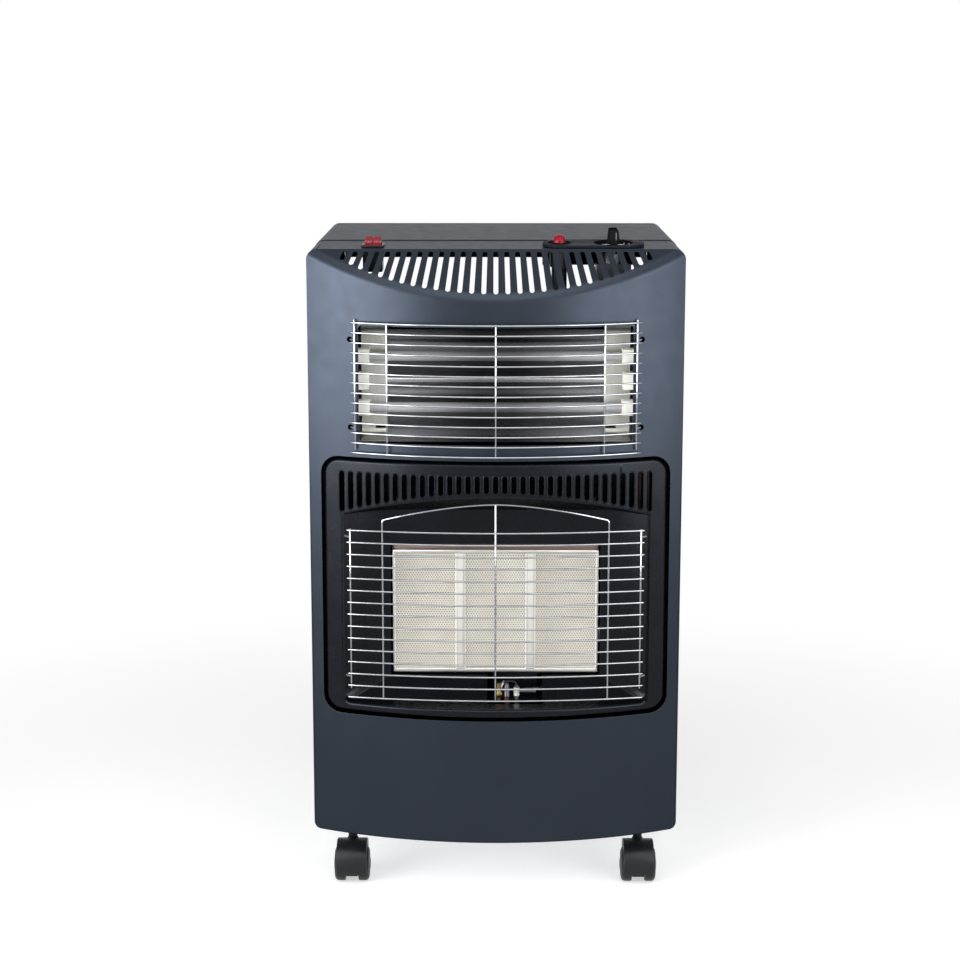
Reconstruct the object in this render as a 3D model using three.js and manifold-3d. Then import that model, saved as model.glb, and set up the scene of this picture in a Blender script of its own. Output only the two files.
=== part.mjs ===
// Portable gas cabinet heater with an electric section above the gas burner.
// Units are millimetres, +Z is up and the front looks along -Y.
// While the pieces are made, Y = 0 is the front edge of the cabinet's sides and Z = 0 is the floor.
// The whole heater is then moved back by CENTRE_Y, so that its box stands centred on the origin.

import * as THREE from 'three';
import { mergeVertices } from 'three/addons/utils/BufferGeometryUtils.js';
import Module from 'manifold-3d';

const wasm = await Module();
wasm.setup();

// ---- driving dimensions ------------------------------------------------------------------

const WIDTH = 415;
const HEIGHT = 734;
const REAR = 373;                 // outer face of the cabinet's back
const PANEL_BOTTOM = 70;          // lower edge of the front and side panels
const SHEET = 1.2;                // steel sheet of the cabinet
const BOW = 50;                   // how far the middle of the front stands before its sides
const TOP_RADIUS = 12;            // rounded upper edges of the cabinet
const FOOT_RADIUS = 8;            // rounded lower corners of the front panel
const CORNER_RADIUS = 5;          // upright edges of the front panel
const RETURN = 14;                // how far the front panel turns back along the sides
const SEAM = 112.5;               // rear edge of the front pressing's top strip
const GAP = 0.3;                  // clearance between touching pieces

const CHAMFER = THREE.MathUtils.degToRad(43.3);   // slope of the vented scoop below the top edge
const VENT_SLOTS = 29;
const VENT_PITCH = 11.65;         // at the top edge; the slots fan out below it
const VENT_FAN = 520;             // distance up the scoop at which all the slots would meet
const VENT_WIDTH = 5.2;

const WINDOW = { half: 150, low: 525, high: 653, radius: 4 };        // electric section
const HEARTH = { half: 193.5, low: 213.3, high: 507.3, radius: 20 }; // gas section

const BACK_DROP = 42;             // downward flange at the rear of the top cover
const COVER_TOP = 640;            // top of the lift-off rear cover; the back is open above it
const FLOOR = 66;                 // underside of the base plate

const DIAL = { x: 129.5, y: 31 };
const BUTTON = { x: 70, y: 31 };
const SWITCH = { x: -135.8, y: 34 };

const WIRE = 2.7;                 // thickness of a guard wire
const CENTRE_Y = 157.725;         // middle of the heater's box, front to back

// ---- paints and metals -------------------------------------------------------------------

const finish = (color, roughness, metalness) => ({ color, roughness, metalness });
const FINISH = {
  paint: finish(0x3a404c, 0.42, 0.55),
  black: finish(0x16171a, 0.3, 0.3),
  blackPlastic: finish(0x18191b, 0.45, 0),
  redPlastic: finish(0xb3202c, 0.35, 0),
  chrome: finish(0xd9dbde, 0.12, 1),
  silver: finish(0xb9bcc0, 0.3, 0.9),
  polished: finish(0xc6c9ce, 0.14, 1),
  galvanised: finish(0x9a9ea3, 0.45, 0.85),
  stainless: finish(0xc9c8c4, 0.3, 0.95),
  ceramic: finish(0xe6e1d2, 0.85, 0),
  porcelain: finish(0xf0efea, 0.4, 0),
  quartz: finish(0xd6d9dc, 0.15, 0),
  brass: finish(0xb08d4a, 0.3, 1),
  copper: finish(0xa8643c, 0.35, 1),
  lead: finish(0x25262a, 0.6, 0),
};

// ---- solids ------------------------------------------------------------------------------

function solidOf(geometry) {
  const bare = geometry.index ? geometry.toNonIndexed() : geometry.clone();
  bare.deleteAttribute('normal');
  bare.deleteAttribute('uv');
  const merged = mergeVertices(bare, 1e-4);
  return new wasm.Manifold(new wasm.Mesh({
    numProp: 3,
    vertProperties: new Float32Array(merged.attributes.position.array),
    triVerts: new Uint32Array(merged.index.array),
  }));
}

function geometryOf(solid) {
  const mesh = solid.getMesh();
  const geometry = new THREE.BufferGeometry();
  geometry.setAttribute('position', new THREE.BufferAttribute(mesh.vertProperties, 3));
  geometry.setIndex(new THREE.BufferAttribute(mesh.triVerts, 1));
  return geometry;
}

const union = (solids) => solids.reduce((whole, next) => whole.add(next));
const cut = (solid, cutters) => cutters.reduce((rest, cutter) => rest.subtract(cutter), solid);

function place(name, shape, look, parent) {
  const geometry = shape.isBufferGeometry ? shape : geometryOf(shape);
  const mesh = new THREE.Mesh(geometry, new THREE.MeshStandardMaterial(look));
  mesh.name = name;
  parent.add(mesh);
  return mesh;
}

// Axis swaps: a shape drawn in XY and extruded along Z is turned to stand on X, Y or Z.
const ALONG_X = new THREE.Matrix4().makeBasis(
  new THREE.Vector3(0, 1, 0), new THREE.Vector3(0, 0, 1), new THREE.Vector3(1, 0, 0));
const ALONG_Y = new THREE.Matrix4().makeBasis(
  new THREE.Vector3(1, 0, 0), new THREE.Vector3(0, 0, 1), new THREE.Vector3(0, -1, 0));

function extruded(shape, depth, curveSegments = 4) {
  return new THREE.ExtrudeGeometry(shape, { depth, bevelEnabled: false, curveSegments });
}

// A prism of an XY shape between two heights.
function prismZ(shape, low, high, segments) {
  return extruded(shape, high - low, segments).translate(0, 0, low);
}

// A prism of a shape drawn in (Y, Z), between two X.
function prismX(shape, left, right, segments) {
  return extruded(shape, right - left, segments).applyMatrix4(ALONG_X).translate(left, 0, 0);
}

// A prism of a shape drawn in (X, Z), between two Y.
function prismY(shape, front, rear, segments) {
  return extruded(shape, rear - front, segments).applyMatrix4(ALONG_Y).translate(0, rear, 0);
}

function box(x, y, z) {
  const geometry = new THREE.BoxGeometry(x[1] - x[0], y[1] - y[0], z[1] - z[0]);
  return geometry.translate((x[0] + x[1]) / 2, (y[0] + y[1]) / 2, (z[0] + z[1]) / 2);
}

const boxSolid = (x, y, z) => solidOf(box(x, y, z));

// A turned piece: profile points are (radius, distance along the axis).
function turned(profile, segments = 16) {
  return new THREE.LatheGeometry(profile.map(([r, h]) => new THREE.Vector2(r, h)), segments);
}

const turnedZ = (profile, segments) => turned(profile, segments).rotateX(Math.PI / 2);
const turnedX = (profile, segments) => turned(profile, segments).rotateZ(-Math.PI / 2);
const turnedY = (profile, segments) => turned(profile, segments);

function rodZ(radius, low, high, segments = 16) {
  return turnedZ([[0, low], [radius, low], [radius, high], [0, high]], segments);
}

function rodX(radius, left, right, segments = 16) {
  return turnedX([[0, left], [radius, left], [radius, right], [0, right]], segments);
}

function rodY(radius, front, rear, segments = 16) {
  return turnedY([[0, front], [radius, front], [radius, rear], [0, rear]], segments);
}

function polygon(points) {
  return new THREE.Shape(points.map(([a, b]) => new THREE.Vector2(a, b)));
}

function roundedRectangle(left, right, low, high, lowRadius, highRadius = lowRadius) {
  const shape = new THREE.Shape();
  shape.moveTo(left + lowRadius, low);
  shape.lineTo(right - lowRadius, low);
  shape.absarc(right - lowRadius, low + lowRadius, lowRadius, -Math.PI / 2, 0);
  shape.lineTo(right, high - highRadius);
  shape.absarc(right - highRadius, high - highRadius, highRadius, 0, Math.PI / 2);
  shape.lineTo(left + highRadius, high);
  shape.absarc(left + highRadius, high - highRadius, highRadius, Math.PI / 2, Math.PI);
  shape.lineTo(left, low + lowRadius);
  shape.absarc(left + lowRadius, low + lowRadius, lowRadius, Math.PI, 1.5 * Math.PI);
  return shape;
}

// A slot of the given width from (x, low) up to (x, high), with half-round ends.
function slotShape(x, low, high, width) {
  const r = width / 2;
  const shape = new THREE.Shape();
  shape.absarc(x, high - r, r, 0, Math.PI);
  shape.absarc(x, low + r, r, Math.PI, 2 * Math.PI);
  return shape;
}

// A bent sheet seen from its edge: the line of its face, given a thickness to the left of it.
function sheetShape(line, thickness) {
  const points = line.map(([a, b]) => new THREE.Vector2(a, b));
  const normals = points.slice(1).map((point, i) => {
    const along = point.clone().sub(points[i]).normalize();
    return new THREE.Vector2(-along.y, along.x);
  });
  const back = points.map((point, i) => {
    const before = normals[Math.max(i - 1, 0)];
    const after = normals[Math.min(i, normals.length - 1)];
    const middle = before.clone().add(after).normalize();
    return point.clone().addScaledVector(middle, thickness / middle.dot(after));
  });
  return new THREE.Shape([...points, ...back.reverse()]);
}

// A closed solid between two outlines with as many points each, drawn in (X, Z) at two Y.
function lofted(front, frontY, rear, rearY) {
  const count = front.length;
  const positions = [];
  front.forEach(([x, z], i) => positions.push(x, typeof frontY === 'number' ? frontY : frontY[i], z));
  rear.forEach(([x, z]) => positions.push(x, rearY, z));
  const indices = [];
  const faces = THREE.ShapeUtils.triangulateShape(front.map(([x, z]) => new THREE.Vector2(x, z)), []);
  faces.forEach(([a, b, c]) => indices.push(a, b, c, count + a, count + c, count + b));
  for (let i = 0; i < count; i += 1) {
    const j = (i + 1) % count;
    indices.push(i, count + i, j, j, count + i, count + j);
  }
  const geometry = new THREE.BufferGeometry();
  geometry.setAttribute('position', new THREE.BufferAttribute(new Float32Array(positions), 3));
  geometry.setIndex(indices);
  return geometry;
}

// A tube or wire along a smooth curve through the points.
function tubeAlong(points, radius, steps, sides = 6) {
  const route = new THREE.CatmullRomCurve3(points.map((p) => new THREE.Vector3(...p)), false, 'centripetal');
  const section = new THREE.Shape();
  for (let i = 0; i < sides; i += 1) {
    const angle = (2 * Math.PI * (i + 0.5)) / sides;
    const x = radius * Math.cos(angle);
    const y = radius * Math.sin(angle);
    if (i === 0) section.moveTo(x, y);
    else section.lineTo(x, y);
  }
  return new THREE.ExtrudeGeometry(section, { steps, extrudePath: route });
}

// ---- the bowed front ---------------------------------------------------------------------

const BOW_RADIUS = ((WIDTH / 2) ** 2 + BOW ** 2) / (2 * BOW);
const BOW_CENTRE = BOW_RADIUS - BOW;

// Y of the bowed face at x, set back from the outer face by inset.
function bowY(x, inset = 0) {
  return BOW_CENTRE - Math.sqrt((BOW_RADIUS - inset) ** 2 - x * x);
}

// Plan of a body behind the bowed face: half its width, its rear, and how far it is set back.
function bowPlan(half, rear, inset, segments = 14) {
  const points = [[half, rear], [-half, rear]];
  for (let i = 0; i <= segments; i += 1) {
    const x = -half + (2 * half * i) / segments;
    points.push([x, bowY(x, inset)]);
  }
  return polygon(points);
}

// Plan of the front pressing, with its rounded upright edges.
function panelPlan(rear, inset, segments = 14) {
  const side = WIDTH / 2 - inset;
  const cx = WIDTH / 2 - CORNER_RADIUS;
  const cy = BOW_CENTRE - Math.sqrt((BOW_RADIUS - CORNER_RADIUS) ** 2 - cx * cx);
  const bend = CORNER_RADIUS - inset;
  const turn = Math.atan2(BOW_CENTRE - cy, cx);
  const points = [[side, rear], [-side, rear]];
  for (let i = 0; i <= 2; i += 1) {
    const angle = (i / 2) * turn;
    points.push([-cx - bend * Math.cos(angle), cy - bend * Math.sin(angle)]);
  }
  const edge = points[points.length - 1][0];
  for (let i = 1; i < segments; i += 1) {
    const x = edge - (2 * edge * i) / segments;
    points.push([x, bowY(x, inset)]);
  }
  for (let i = 2; i >= 0; i -= 1) {
    const angle = (i / 2) * turn;
    points.push([cx + bend * Math.cos(angle), cy - bend * Math.sin(angle)]);
  }
  return polygon(points);
}

// The cabinet's outline seen from the front, drawn in by inset, down to the given height.
function frontOutline(inset, low, lowRadius) {
  const side = WIDTH / 2 - inset;
  return roundedRectangle(-side, side, low, HEIGHT - inset, lowRadius, TOP_RADIUS - inset);
}

// What the scoop takes off the top of the bow, with its face set in by inset.
function scoopCutter(inset) {
  const forward = [-Math.cos(CHAMFER), -Math.sin(CHAMFER)];
  const out = [-Math.sin(CHAMFER), Math.cos(CHAMFER)];
  const reach = 150;
  const start = [-out[0] * inset + forward[0] * -20 * Math.sign(inset),
    HEIGHT - out[1] * inset + forward[1] * -20 * Math.sign(inset)];
  const corner = (along, up) => [start[0] + forward[0] * along + out[0] * up,
    start[1] + forward[1] * along + out[1] * up];
  return solidOf(prismX(polygon([corner(0, 0), corner(0, reach), corner(reach, reach), corner(reach, 0)]),
    -WIDTH, WIDTH));
}

// The fan of slots in the scoop, as cutters through its sheet.
function ventCutters() {
  const down = new THREE.Vector3(0, -Math.cos(CHAMFER), -Math.sin(CHAMFER));
  const inward = new THREE.Vector3(0, Math.sin(CHAMFER), -Math.cos(CHAMFER));
  const toScoop = new THREE.Matrix4().makeBasis(new THREE.Vector3(1, 0, 0), down, inward);
  toScoop.setPosition(0, 0, HEIGHT);
  const first = 3.5;
  const land = 4.5;
  const middle = (VENT_SLOTS - 1) / 2;
  return Array.from({ length: VENT_SLOTS }, (_, i) => {
    const x = (i - middle) * VENT_PITCH;
    const fan = Math.atan2(x, VENT_FAN);
    const reach = (-bowY(x * 1.08) / Math.cos(CHAMFER)) - land;
    const slot = extruded(slotShape(0, 0, (reach - first) / Math.cos(fan), VENT_WIDTH), 12, 2);
    slot.translate(0, 0, -6).rotateZ(-fan).translate(x, first, 0).applyMatrix4(toScoop);
    return solidOf(slot);
  });
}

const HOOK_HEIGHTS = [540.5, 637.5];
const HOOK_X = 154;

function frontPanel() {
  const outer = solidOf(prismZ(panelPlan(SEAM, 0), PANEL_BOTTOM, HEIGHT))
    .intersect(solidOf(prismY(frontOutline(0, PANEL_BOTTOM, FOOT_RADIUS), -BOW - 5, REAR)))
    .subtract(scoopCutter(0));
  const inner = solidOf(prismZ(panelPlan(REAR, SHEET), PANEL_BOTTOM, HEIGHT))
    .intersect(solidOf(prismY(frontOutline(SHEET, PANEL_BOTTOM + SHEET, FOOT_RADIUS - SHEET),
      -BOW - 5, REAR)))
    .subtract(scoopCutter(SHEET));
  const lip = 13;
  const holes = HOOK_HEIGHTS.flatMap((z) => [-HOOK_X, HOOK_X].map((x) => (
    solidOf(rodY(2.6, -60, 0, 8)).translate([x, 0, z]))));
  return cut(outer.subtract(inner), [
    solidOf(prismZ(bowPlan(WIDTH / 2 - lip, REAR, lip), PANEL_BOTTOM - 5, PANEL_BOTTOM + 5)),
    boxSolid([-WIDTH, WIDTH], [RETURN, REAR], [0, HEIGHT - TOP_RADIUS]),
    solidOf(prismY(roundedRectangle(-WINDOW.half, WINDOW.half, WINDOW.low, WINDOW.high, WINDOW.radius),
      -BOW - 5, 10, 2)),
    solidOf(prismY(roundedRectangle(-HEARTH.half, HEARTH.half, HEARTH.low, HEARTH.high, HEARTH.radius),
      -BOW - 5, 10, 4)),
    ...ventCutters(),
    ...holes,
    solidOf(rodZ(15.6, 720, 745, 20)).translate([DIAL.x, DIAL.y, 0]),
    solidOf(rodZ(7.6, 720, 745, 14)).translate([BUTTON.x, BUTTON.y, 0]),
    boxSolid([SWITCH.x - 11, SWITCH.x + 11], [SWITCH.y - 16.2, SWITCH.y + 16.2], [720, 745]),
  ]);
}

// ---- cabinet -----------------------------------------------------------------------------

const FLANGE = 17.5;              // width of the side panels' rear flanges
const GLAND = { x: -198.3, z: 120 };

function sidePanel(side) {
  const outside = WIDTH / 2;
  const top = HEIGHT - TOP_RADIUS - GAP;
  const angle = [
    [outside, RETURN + GAP], [outside, REAR], [outside - FLANGE, REAR],
    [outside - FLANGE, REAR - SHEET], [outside - SHEET, REAR - SHEET], [outside - SHEET, RETURN + GAP],
  ].map(([x, y]) => [x * side, y]);
  const panel = solidOf(prismZ(polygon(angle), PANEL_BOTTOM, top));
  if (side > 0) return panel;
  return panel.subtract(solidOf(rodY(6.2, REAR - 10, REAR + 10, 12)).translate([GLAND.x, 0, GLAND.z]));
}

function topCover() {
  const front = SEAM + GAP;
  const shell = solidOf(prismY(frontOutline(0, PANEL_BOTTOM, FOOT_RADIUS), front, REAR))
    .subtract(solidOf(prismY(frontOutline(SHEET, PANEL_BOTTOM, FOOT_RADIUS), front - 5, REAR - SHEET)));
  const shoulder = HEIGHT - TOP_RADIUS;
  const inside = WIDTH / 2 - FLANGE - GAP;
  return cut(shell, [
    boxSolid([-WIDTH, WIDTH], [0, REAR + 5], [0, HEIGHT - BACK_DROP]),
    boxSolid([-WIDTH, WIDTH], [0, REAR - SHEET], [0, shoulder]),
    boxSolid([-WIDTH, -inside], [0, REAR + 5], [0, shoulder]),
    boxSolid([inside, WIDTH], [0, REAR + 5], [0, shoulder]),
  ]);
}

const CASTER_X = 165.6;
const STEMS_Y = { front: 37, rear: 351 };
const STEM_RADIUS = 5;

function basePlate() {
  const half = WIDTH / 2 - SHEET - 0.5;
  const thick = 1.5;
  const flange = 16;
  const front = RETURN + 0.6;
  const rear = REAR - SHEET - GAP;
  const tray = boxSolid([-half, half], [front, rear], [FLOOR, FLOOR + flange])
    .subtract(boxSolid([-half + thick, half - thick], [front + thick, rear - thick], [FLOOR + thick, 100]));
  const sockets = [-CASTER_X, CASTER_X].flatMap((x) => Object.values(STEMS_Y).map((y) => (
    solidOf(rodZ(STEM_RADIUS + GAP, FLOOR - 5, FLOOR + 5, 12)).translate([x, y, 0]))));
  return cut(tray, sockets);
}

function rearCover() {
  const half = WIDTH / 2 - FLANGE - 0.7;
  const low = FLOOR + 18;
  const lipFront = REAR - 13;
  const pan = boxSolid([-half, half], [lipFront, REAR], [low, COVER_TOP])
    .subtract(boxSolid([-half + SHEET, half - SHEET], [lipFront - 5, REAR - SHEET],
      [low + SHEET, COVER_TOP - SHEET]));
  const vents = [];
  for (const row of [150, 560]) {
    for (let i = 0; i < 5; i += 1) {
      for (const x of [-90, 90]) {
        vents.push(boxSolid([x - 55, x + 55], [REAR - 5, REAR + 5], [row + 12 * i, row + 12 * i + 4.5]));
      }
    }
  }
  return cut(pan, vents);
}

function heatShield() {
  const half = WIDTH / 2 - SHEET - 2.5;
  const front = 69;
  const flange = 12;
  return solidOf(prismZ(polygon([
    [-half, front], [half, front], [half, front + flange], [half - SHEET, front + flange],
    [half - SHEET, front + SHEET], [-half + SHEET, front + SHEET],
    [-half + SHEET, front + flange], [-half, front + flange],
  ]), FLOOR + 17, 655));
}

// ---- controls ----------------------------------------------------------------------------

const COUNTER = HEIGHT + GAP;     // what lies on the top strip starts here

function escutcheon() {
  const plate = roundedRectangle(51.4, 163.6, DIAL.y - 23, DIAL.y + 23, 17);
  const collar = solidOf(rodZ(14, COUNTER, COUNTER + 5, 20)).translate([BUTTON.x, BUTTON.y, 0]);
  return cut(solidOf(prismZ(plate, COUNTER, COUNTER + 2.6, 5)).add(collar), [
    solidOf(rodZ(21.6, 730, 745, 24)).translate([DIAL.x, DIAL.y, 0]),
    solidOf(rodZ(7.5, 730, 745, 16)).translate([BUTTON.x, BUTTON.y, 0]),
  ]);
}

function dialRing() {
  const profile = [[15.7, COUNTER], [21.2, COUNTER], [21.2, COUNTER + 2], [19.8, COUNTER + 3.2],
    [15.7, COUNTER + 1.4], [15.7, COUNTER]];
  return turnedZ(profile, 24).translate(DIAL.x, DIAL.y, 0);
}

const KNOB_TRAVEL = 4;            // the knob is pushed down this far to light the pilot

function gasKnob() {
  const skirt = solidOf(turnedZ([[0, HEIGHT + 0.6], [14, HEIGHT + 0.6], [14.6, HEIGHT + 2], [13.6, HEIGHT + 8],
    [0, HEIGHT + 9]], 20));
  const low = HEIGHT + 4 + KNOB_TRAVEL;
  const blade = solidOf(prismX(polygon([[-18, low], [18, low], [18.5, HEIGHT + 11.5],
    [15.5, HEIGHT + 20], [-15.5, HEIGHT + 20], [-18.5, HEIGHT + 11.5]]), -5.8, 5.8));
  return skirt.add(blade)
    .subtract(solidOf(rodZ(4.2, HEIGHT - 5, HEIGHT + 8, 12)))
    .translate([DIAL.x, DIAL.y, 0]);
}

function valveSpindle() {
  return rodZ(4, HEIGHT - 22, HEIGHT + 7.5, 12).translate(DIAL.x, DIAL.y, 0);
}

const PORT_Z = 700;

function gasValve() {
  const bodyHalf = 19;
  const parts = [
    boxSolid([-bodyHalf, bodyHalf], [-17, 17], [682, 716]),
    solidOf(rodZ(13, 710, HEIGHT - 7.5, 18)),
    solidOf(rodX(7, bodyHalf - 2, 27, 12)).translate([0, 0, PORT_Z]),
    solidOf(rodY(8.5, 15, 21, 6)).translate([0, 0, PORT_Z]),
    solidOf(rodZ(6, 676, 684, 10)).translate([8, 6, 0]),
    solidOf(rodX(4.5, bodyHalf - 2, 25, 10)).translate([0, -9, 688]),
  ];
  return union(parts)
    .subtract(solidOf(rodZ(4.3, HEIGHT - 28, HEIGHT, 12)))
    .translate([DIAL.x, DIAL.y, 0]);
}

function hoseTail() {
  const profile = [[0, 0], [9, 0], [9, 7], [5, 9]];
  for (let i = 0; i < 4; i += 1) profile.push([4.6, 11 + 7 * i], [5.9, 16 + 7 * i]);
  profile.push([4.4, 41], [0, 41]);
  return turnedY(profile, 12).translate(DIAL.x, DIAL.y + 21 + GAP, PORT_Z);
}

function igniterBody() {
  const profile = [[0, 670], [4, 670], [4, 676], [8.5, 676], [8.5, 712], [10.5, 712],
    [10.5, HEIGHT - SHEET - GAP], [7.6, HEIGHT - SHEET - GAP], [7.6, 717], [0, 717]];
  return turnedZ(profile, 16).translate(BUTTON.x, BUTTON.y, 0);
}

function igniterButton() {
  const top = HEIGHT + 13.5;
  const profile = [[0, 726], [7, 726], [7, HEIGHT + 7], [6.4, HEIGHT + 10], [4.6, HEIGHT + 12.4], [0, top]];
  return turnedZ(profile, 18).translate(BUTTON.x, BUTTON.y, 0);
}

const ROCKER_PIVOT = HEIGHT + 0.8;
const ROCKER_RADIUS = 13.4;

function switchHousing() {
  const well = [14, 9.6];
  const flange = roundedRectangle(-12.4, 12.4, -17.4, 17.4, 2.5);
  return cut(solidOf(prismZ(flange, COUNTER, COUNTER + 2.4, 2))
    .add(boxSolid([-10.7, 10.7], [-15.8, 15.8], [707, COUNTER + 1])), [
    boxSolid([-well[1], well[1]], [-well[0], well[0]], [716, HEIGHT + 20]),
  ]).translate([SWITCH.x, SWITCH.y, 0]);
}

function rocker(x) {
  const at = (degrees) => {
    const angle = THREE.MathUtils.degToRad(degrees);
    return [ROCKER_RADIUS * Math.cos(angle), ROCKER_RADIUS * Math.sin(angle)];
  };
  const outline = [at(-12), at(14), at(40), [0, 3.2], at(164), at(179), at(192), [-4, -9], [4, -9]];
  return prismX(polygon(outline), -4.4, 4.4).translate(x, SWITCH.y, ROCKER_PIVOT);
}

// ---- electric section --------------------------------------------------------------------

const TUBES = { upper: 615, lower: 557.5 };
const TUBE_Y = 12;
const HOLDER = { inner: 139.5, outer: 152.5 };
const ELECTRIC = { half: 157, low: 519, high: 659, rear: 48 };

function reflectorHousing() {
  const { half, low, high, rear } = ELECTRIC;
  const block = solidOf(prismZ(bowPlan(half, rear, SHEET + 1), low, high));
  return cut(block, [
    solidOf(prismZ(bowPlan(half - SHEET, rear - SHEET, -20), low + SHEET, high - SHEET)),
    ...HOOK_HEIGHTS.flatMap((z) => [-HOOK_X, HOOK_X].map((x) => (
      boxSolid([x - 5, x + 5], [-60, -6], [z - 5, z + 5])))),
  ]);
}

function reflector() {
  const ridge = (TUBES.upper + TUBES.lower) / 2;
  const trough = (z) => [[27, z + 19], [33.5, z + 8], [33.5, z - 8], [27, z - 19]];
  const line = [[-6, 655], [12, 648.5], ...trough(TUBES.upper), [20, ridge], ...trough(TUBES.lower),
    [12, 526], [-6, 522]];
  return prismX(sheetShape(line, 0.8), -153.5, 153.5);
}

function quartzTube(z) {
  return rodX(5.5, -HOLDER.outer + 3, HOLDER.outer - 3, 12).translate(0, TUBE_Y, z);
}

function tubeHolder(side, z) {
  const block = boxSolid([HOLDER.inner, HOLDER.outer], [TUBE_Y - 9, TUBE_Y + 9], [-8.5, 8.5]);
  const bore = solidOf(rodX(5.8, HOLDER.inner - 5, HOLDER.outer - 2.7, 12)).translate([0, TUBE_Y, 0]);
  const made = block.subtract(bore).translate([0, 0, z]);
  return side > 0 ? made : made.mirror([1, 0, 0]);
}

// ---- wire guards -------------------------------------------------------------------------

// Y of a guard's wires at x, on the arc through its two ends and its middle.
function guardY(x, half, endY, middleY) {
  const rise = endY - middleY;
  const radius = (half * half + rise * rise) / (2 * rise);
  return middleY + radius - Math.sqrt(radius * radius - x * x);
}

// A bowed wire across a guard at height z.
function crossWire(half, endY, middleY, z, segments = 6) {
  const points = [];
  for (let i = 0; i <= segments; i += 1) {
    const x = -half + (2 * half * i) / segments;
    points.push([x, guardY(x, half, endY, middleY), z]);
  }
  const radius = WIRE / 2;
  const front = points.map(([x, y]) => [x, y - radius]);
  const rear = points.map(([x, y]) => [x, y + radius]).reverse();
  return solidOf(prismZ(polygon([...front, ...rear]), z - radius, z + radius));
}

// An upright wire just behind the cross wires, sunk a little into them.
function uprightWire(x, y, low, high) {
  const radius = WIRE / 2;
  return boxSolid([x - radius, x + radius], [y + radius - 0.6, y + 3 * radius - 0.6], [low, high]);
}

const UPPER_GUARD = { half: 159, endY: -26, middleY: -59.6, top: 656.6, pitch: 11.02, wires: 14 };

function upperGuard() {
  const { half, endY, middleY, top, pitch, wires } = UPPER_GUARD;
  const bottom = top - pitch * (wires - 1);
  const y = (x) => guardY(x, half, endY, middleY);
  const parts = Array.from({ length: wires }, (_, i) => crossWire(half, endY, middleY, top - pitch * i));
  for (const x of [-154, 154]) {
    parts.push(uprightWire(x, y(x), bottom + 2, top + 4));
    const hook = y(x) + WIRE;
    for (const z of HOOK_HEIGHTS) {
      parts.push(boxSolid([x - 1.2, x + 1.2], [hook - 1.5, bowY(x) + 9], [z - 1.2, z + 1.2]));
    }
  }
  for (const x of [-118.4, 0, 118.4]) parts.push(uprightWire(x, y(x), bottom - 1.5, top + 1.5));
  return union(parts);
}

const LOWER_GUARD = { half: 165, endY: -20.5, middleY: -38, top: 424.8, pitch: 13.68, wires: 15 };
const FRAME_X = 125.4;

function lowerGuard() {
  const { half, endY, middleY, top, pitch, wires } = LOWER_GUARD;
  const bottom = top - pitch * (wires - 1);
  const y = (x) => guardY(x, half, endY, middleY);
  const parts = Array.from({ length: wires }, (_, i) => crossWire(half, endY, middleY, top - pitch * i));
  for (const x of [-161.5, 161.5]) parts.push(uprightWire(x, y(x), bottom + 10, top + 1.5));
  const behind = WIRE - 0.6;
  for (const x of [-FRAME_X, FRAME_X]) parts.push(uprightWire(x, y(x), bottom - 1.5, 437.5));
  parts.push(uprightWire(0, y(0), bottom - 1.5, 457));
  const arch = [-FRAME_X, -82, -44, 0, 44, 82, FRAME_X].map((x) => (
    [x, y(x) + behind, 457 - 20.5 * Math.abs(x / FRAME_X) ** 1.7]));
  parts.push(solidOf(tubeAlong(arch, WIRE / 2, 12, 4)));
  return union(parts);
}

// ---- gas section -------------------------------------------------------------------------

const RIM = { half: 190, low: 216.8, high: 503.8, radius: 17 };
const RECESS = { half: 171, low: 226, side: 440, crown: 466 };
const THROAT = { half: 130, low: 246, high: 441, y: 14 };
const SURROUND_SHEET = 1.4;
const LOUVRES = 35;

// Height of the arched upper edge of the recess at x.
function archZ(x) {
  return RECESS.crown - (RECESS.crown - RECESS.side) * (x / RECESS.half) ** 2;
}

// Outline of the recess with rounded lower corners and an arched top, grown by grow.
function recessOutline(half, low, topZ, corner, grow) {
  const points = [];
  const side = half + grow;
  for (let i = 0; i <= 3; i += 1) {
    const angle = -Math.PI / 2 + (i / 3) * (Math.PI / 2);
    points.push([side - corner + corner * Math.cos(angle), low - grow + corner + corner * Math.sin(angle)]);
  }
  const steps = 12;
  for (let i = 0; i <= steps; i += 1) {
    const x = side - (2 * side * i) / steps;
    points.push([x, topZ(x) + grow]);
  }
  for (let i = 0; i <= 3; i += 1) {
    const angle = Math.PI + (i / 3) * (Math.PI / 2);
    points.push([-side + corner + corner * Math.cos(angle), low - grow + corner + corner * Math.sin(angle)]);
  }
  return points;
}

// The recess from in front of the bow to its throat, grown by grow on every side.
function recessSolid(grow, frontY, rearY) {
  const mouthY = -16;
  const share = (y) => (y - mouthY) / (THROAT.y - mouthY);
  const mix = (a, b, y) => a + (b - a) * Math.max(0, share(y));
  const section = (y) => recessOutline(
    mix(RECESS.half, THROAT.half, y),
    mix(RECESS.low, THROAT.low, y),
    (x) => mix(archZ(x), THROAT.high, y),
    9,
    grow,
  );
  return solidOf(lofted(section(mouthY), frontY, section(mouthY), mouthY))
    .add(solidOf(lofted(section(mouthY), mouthY - 0.01, section(rearY), rearY)));
}

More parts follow.
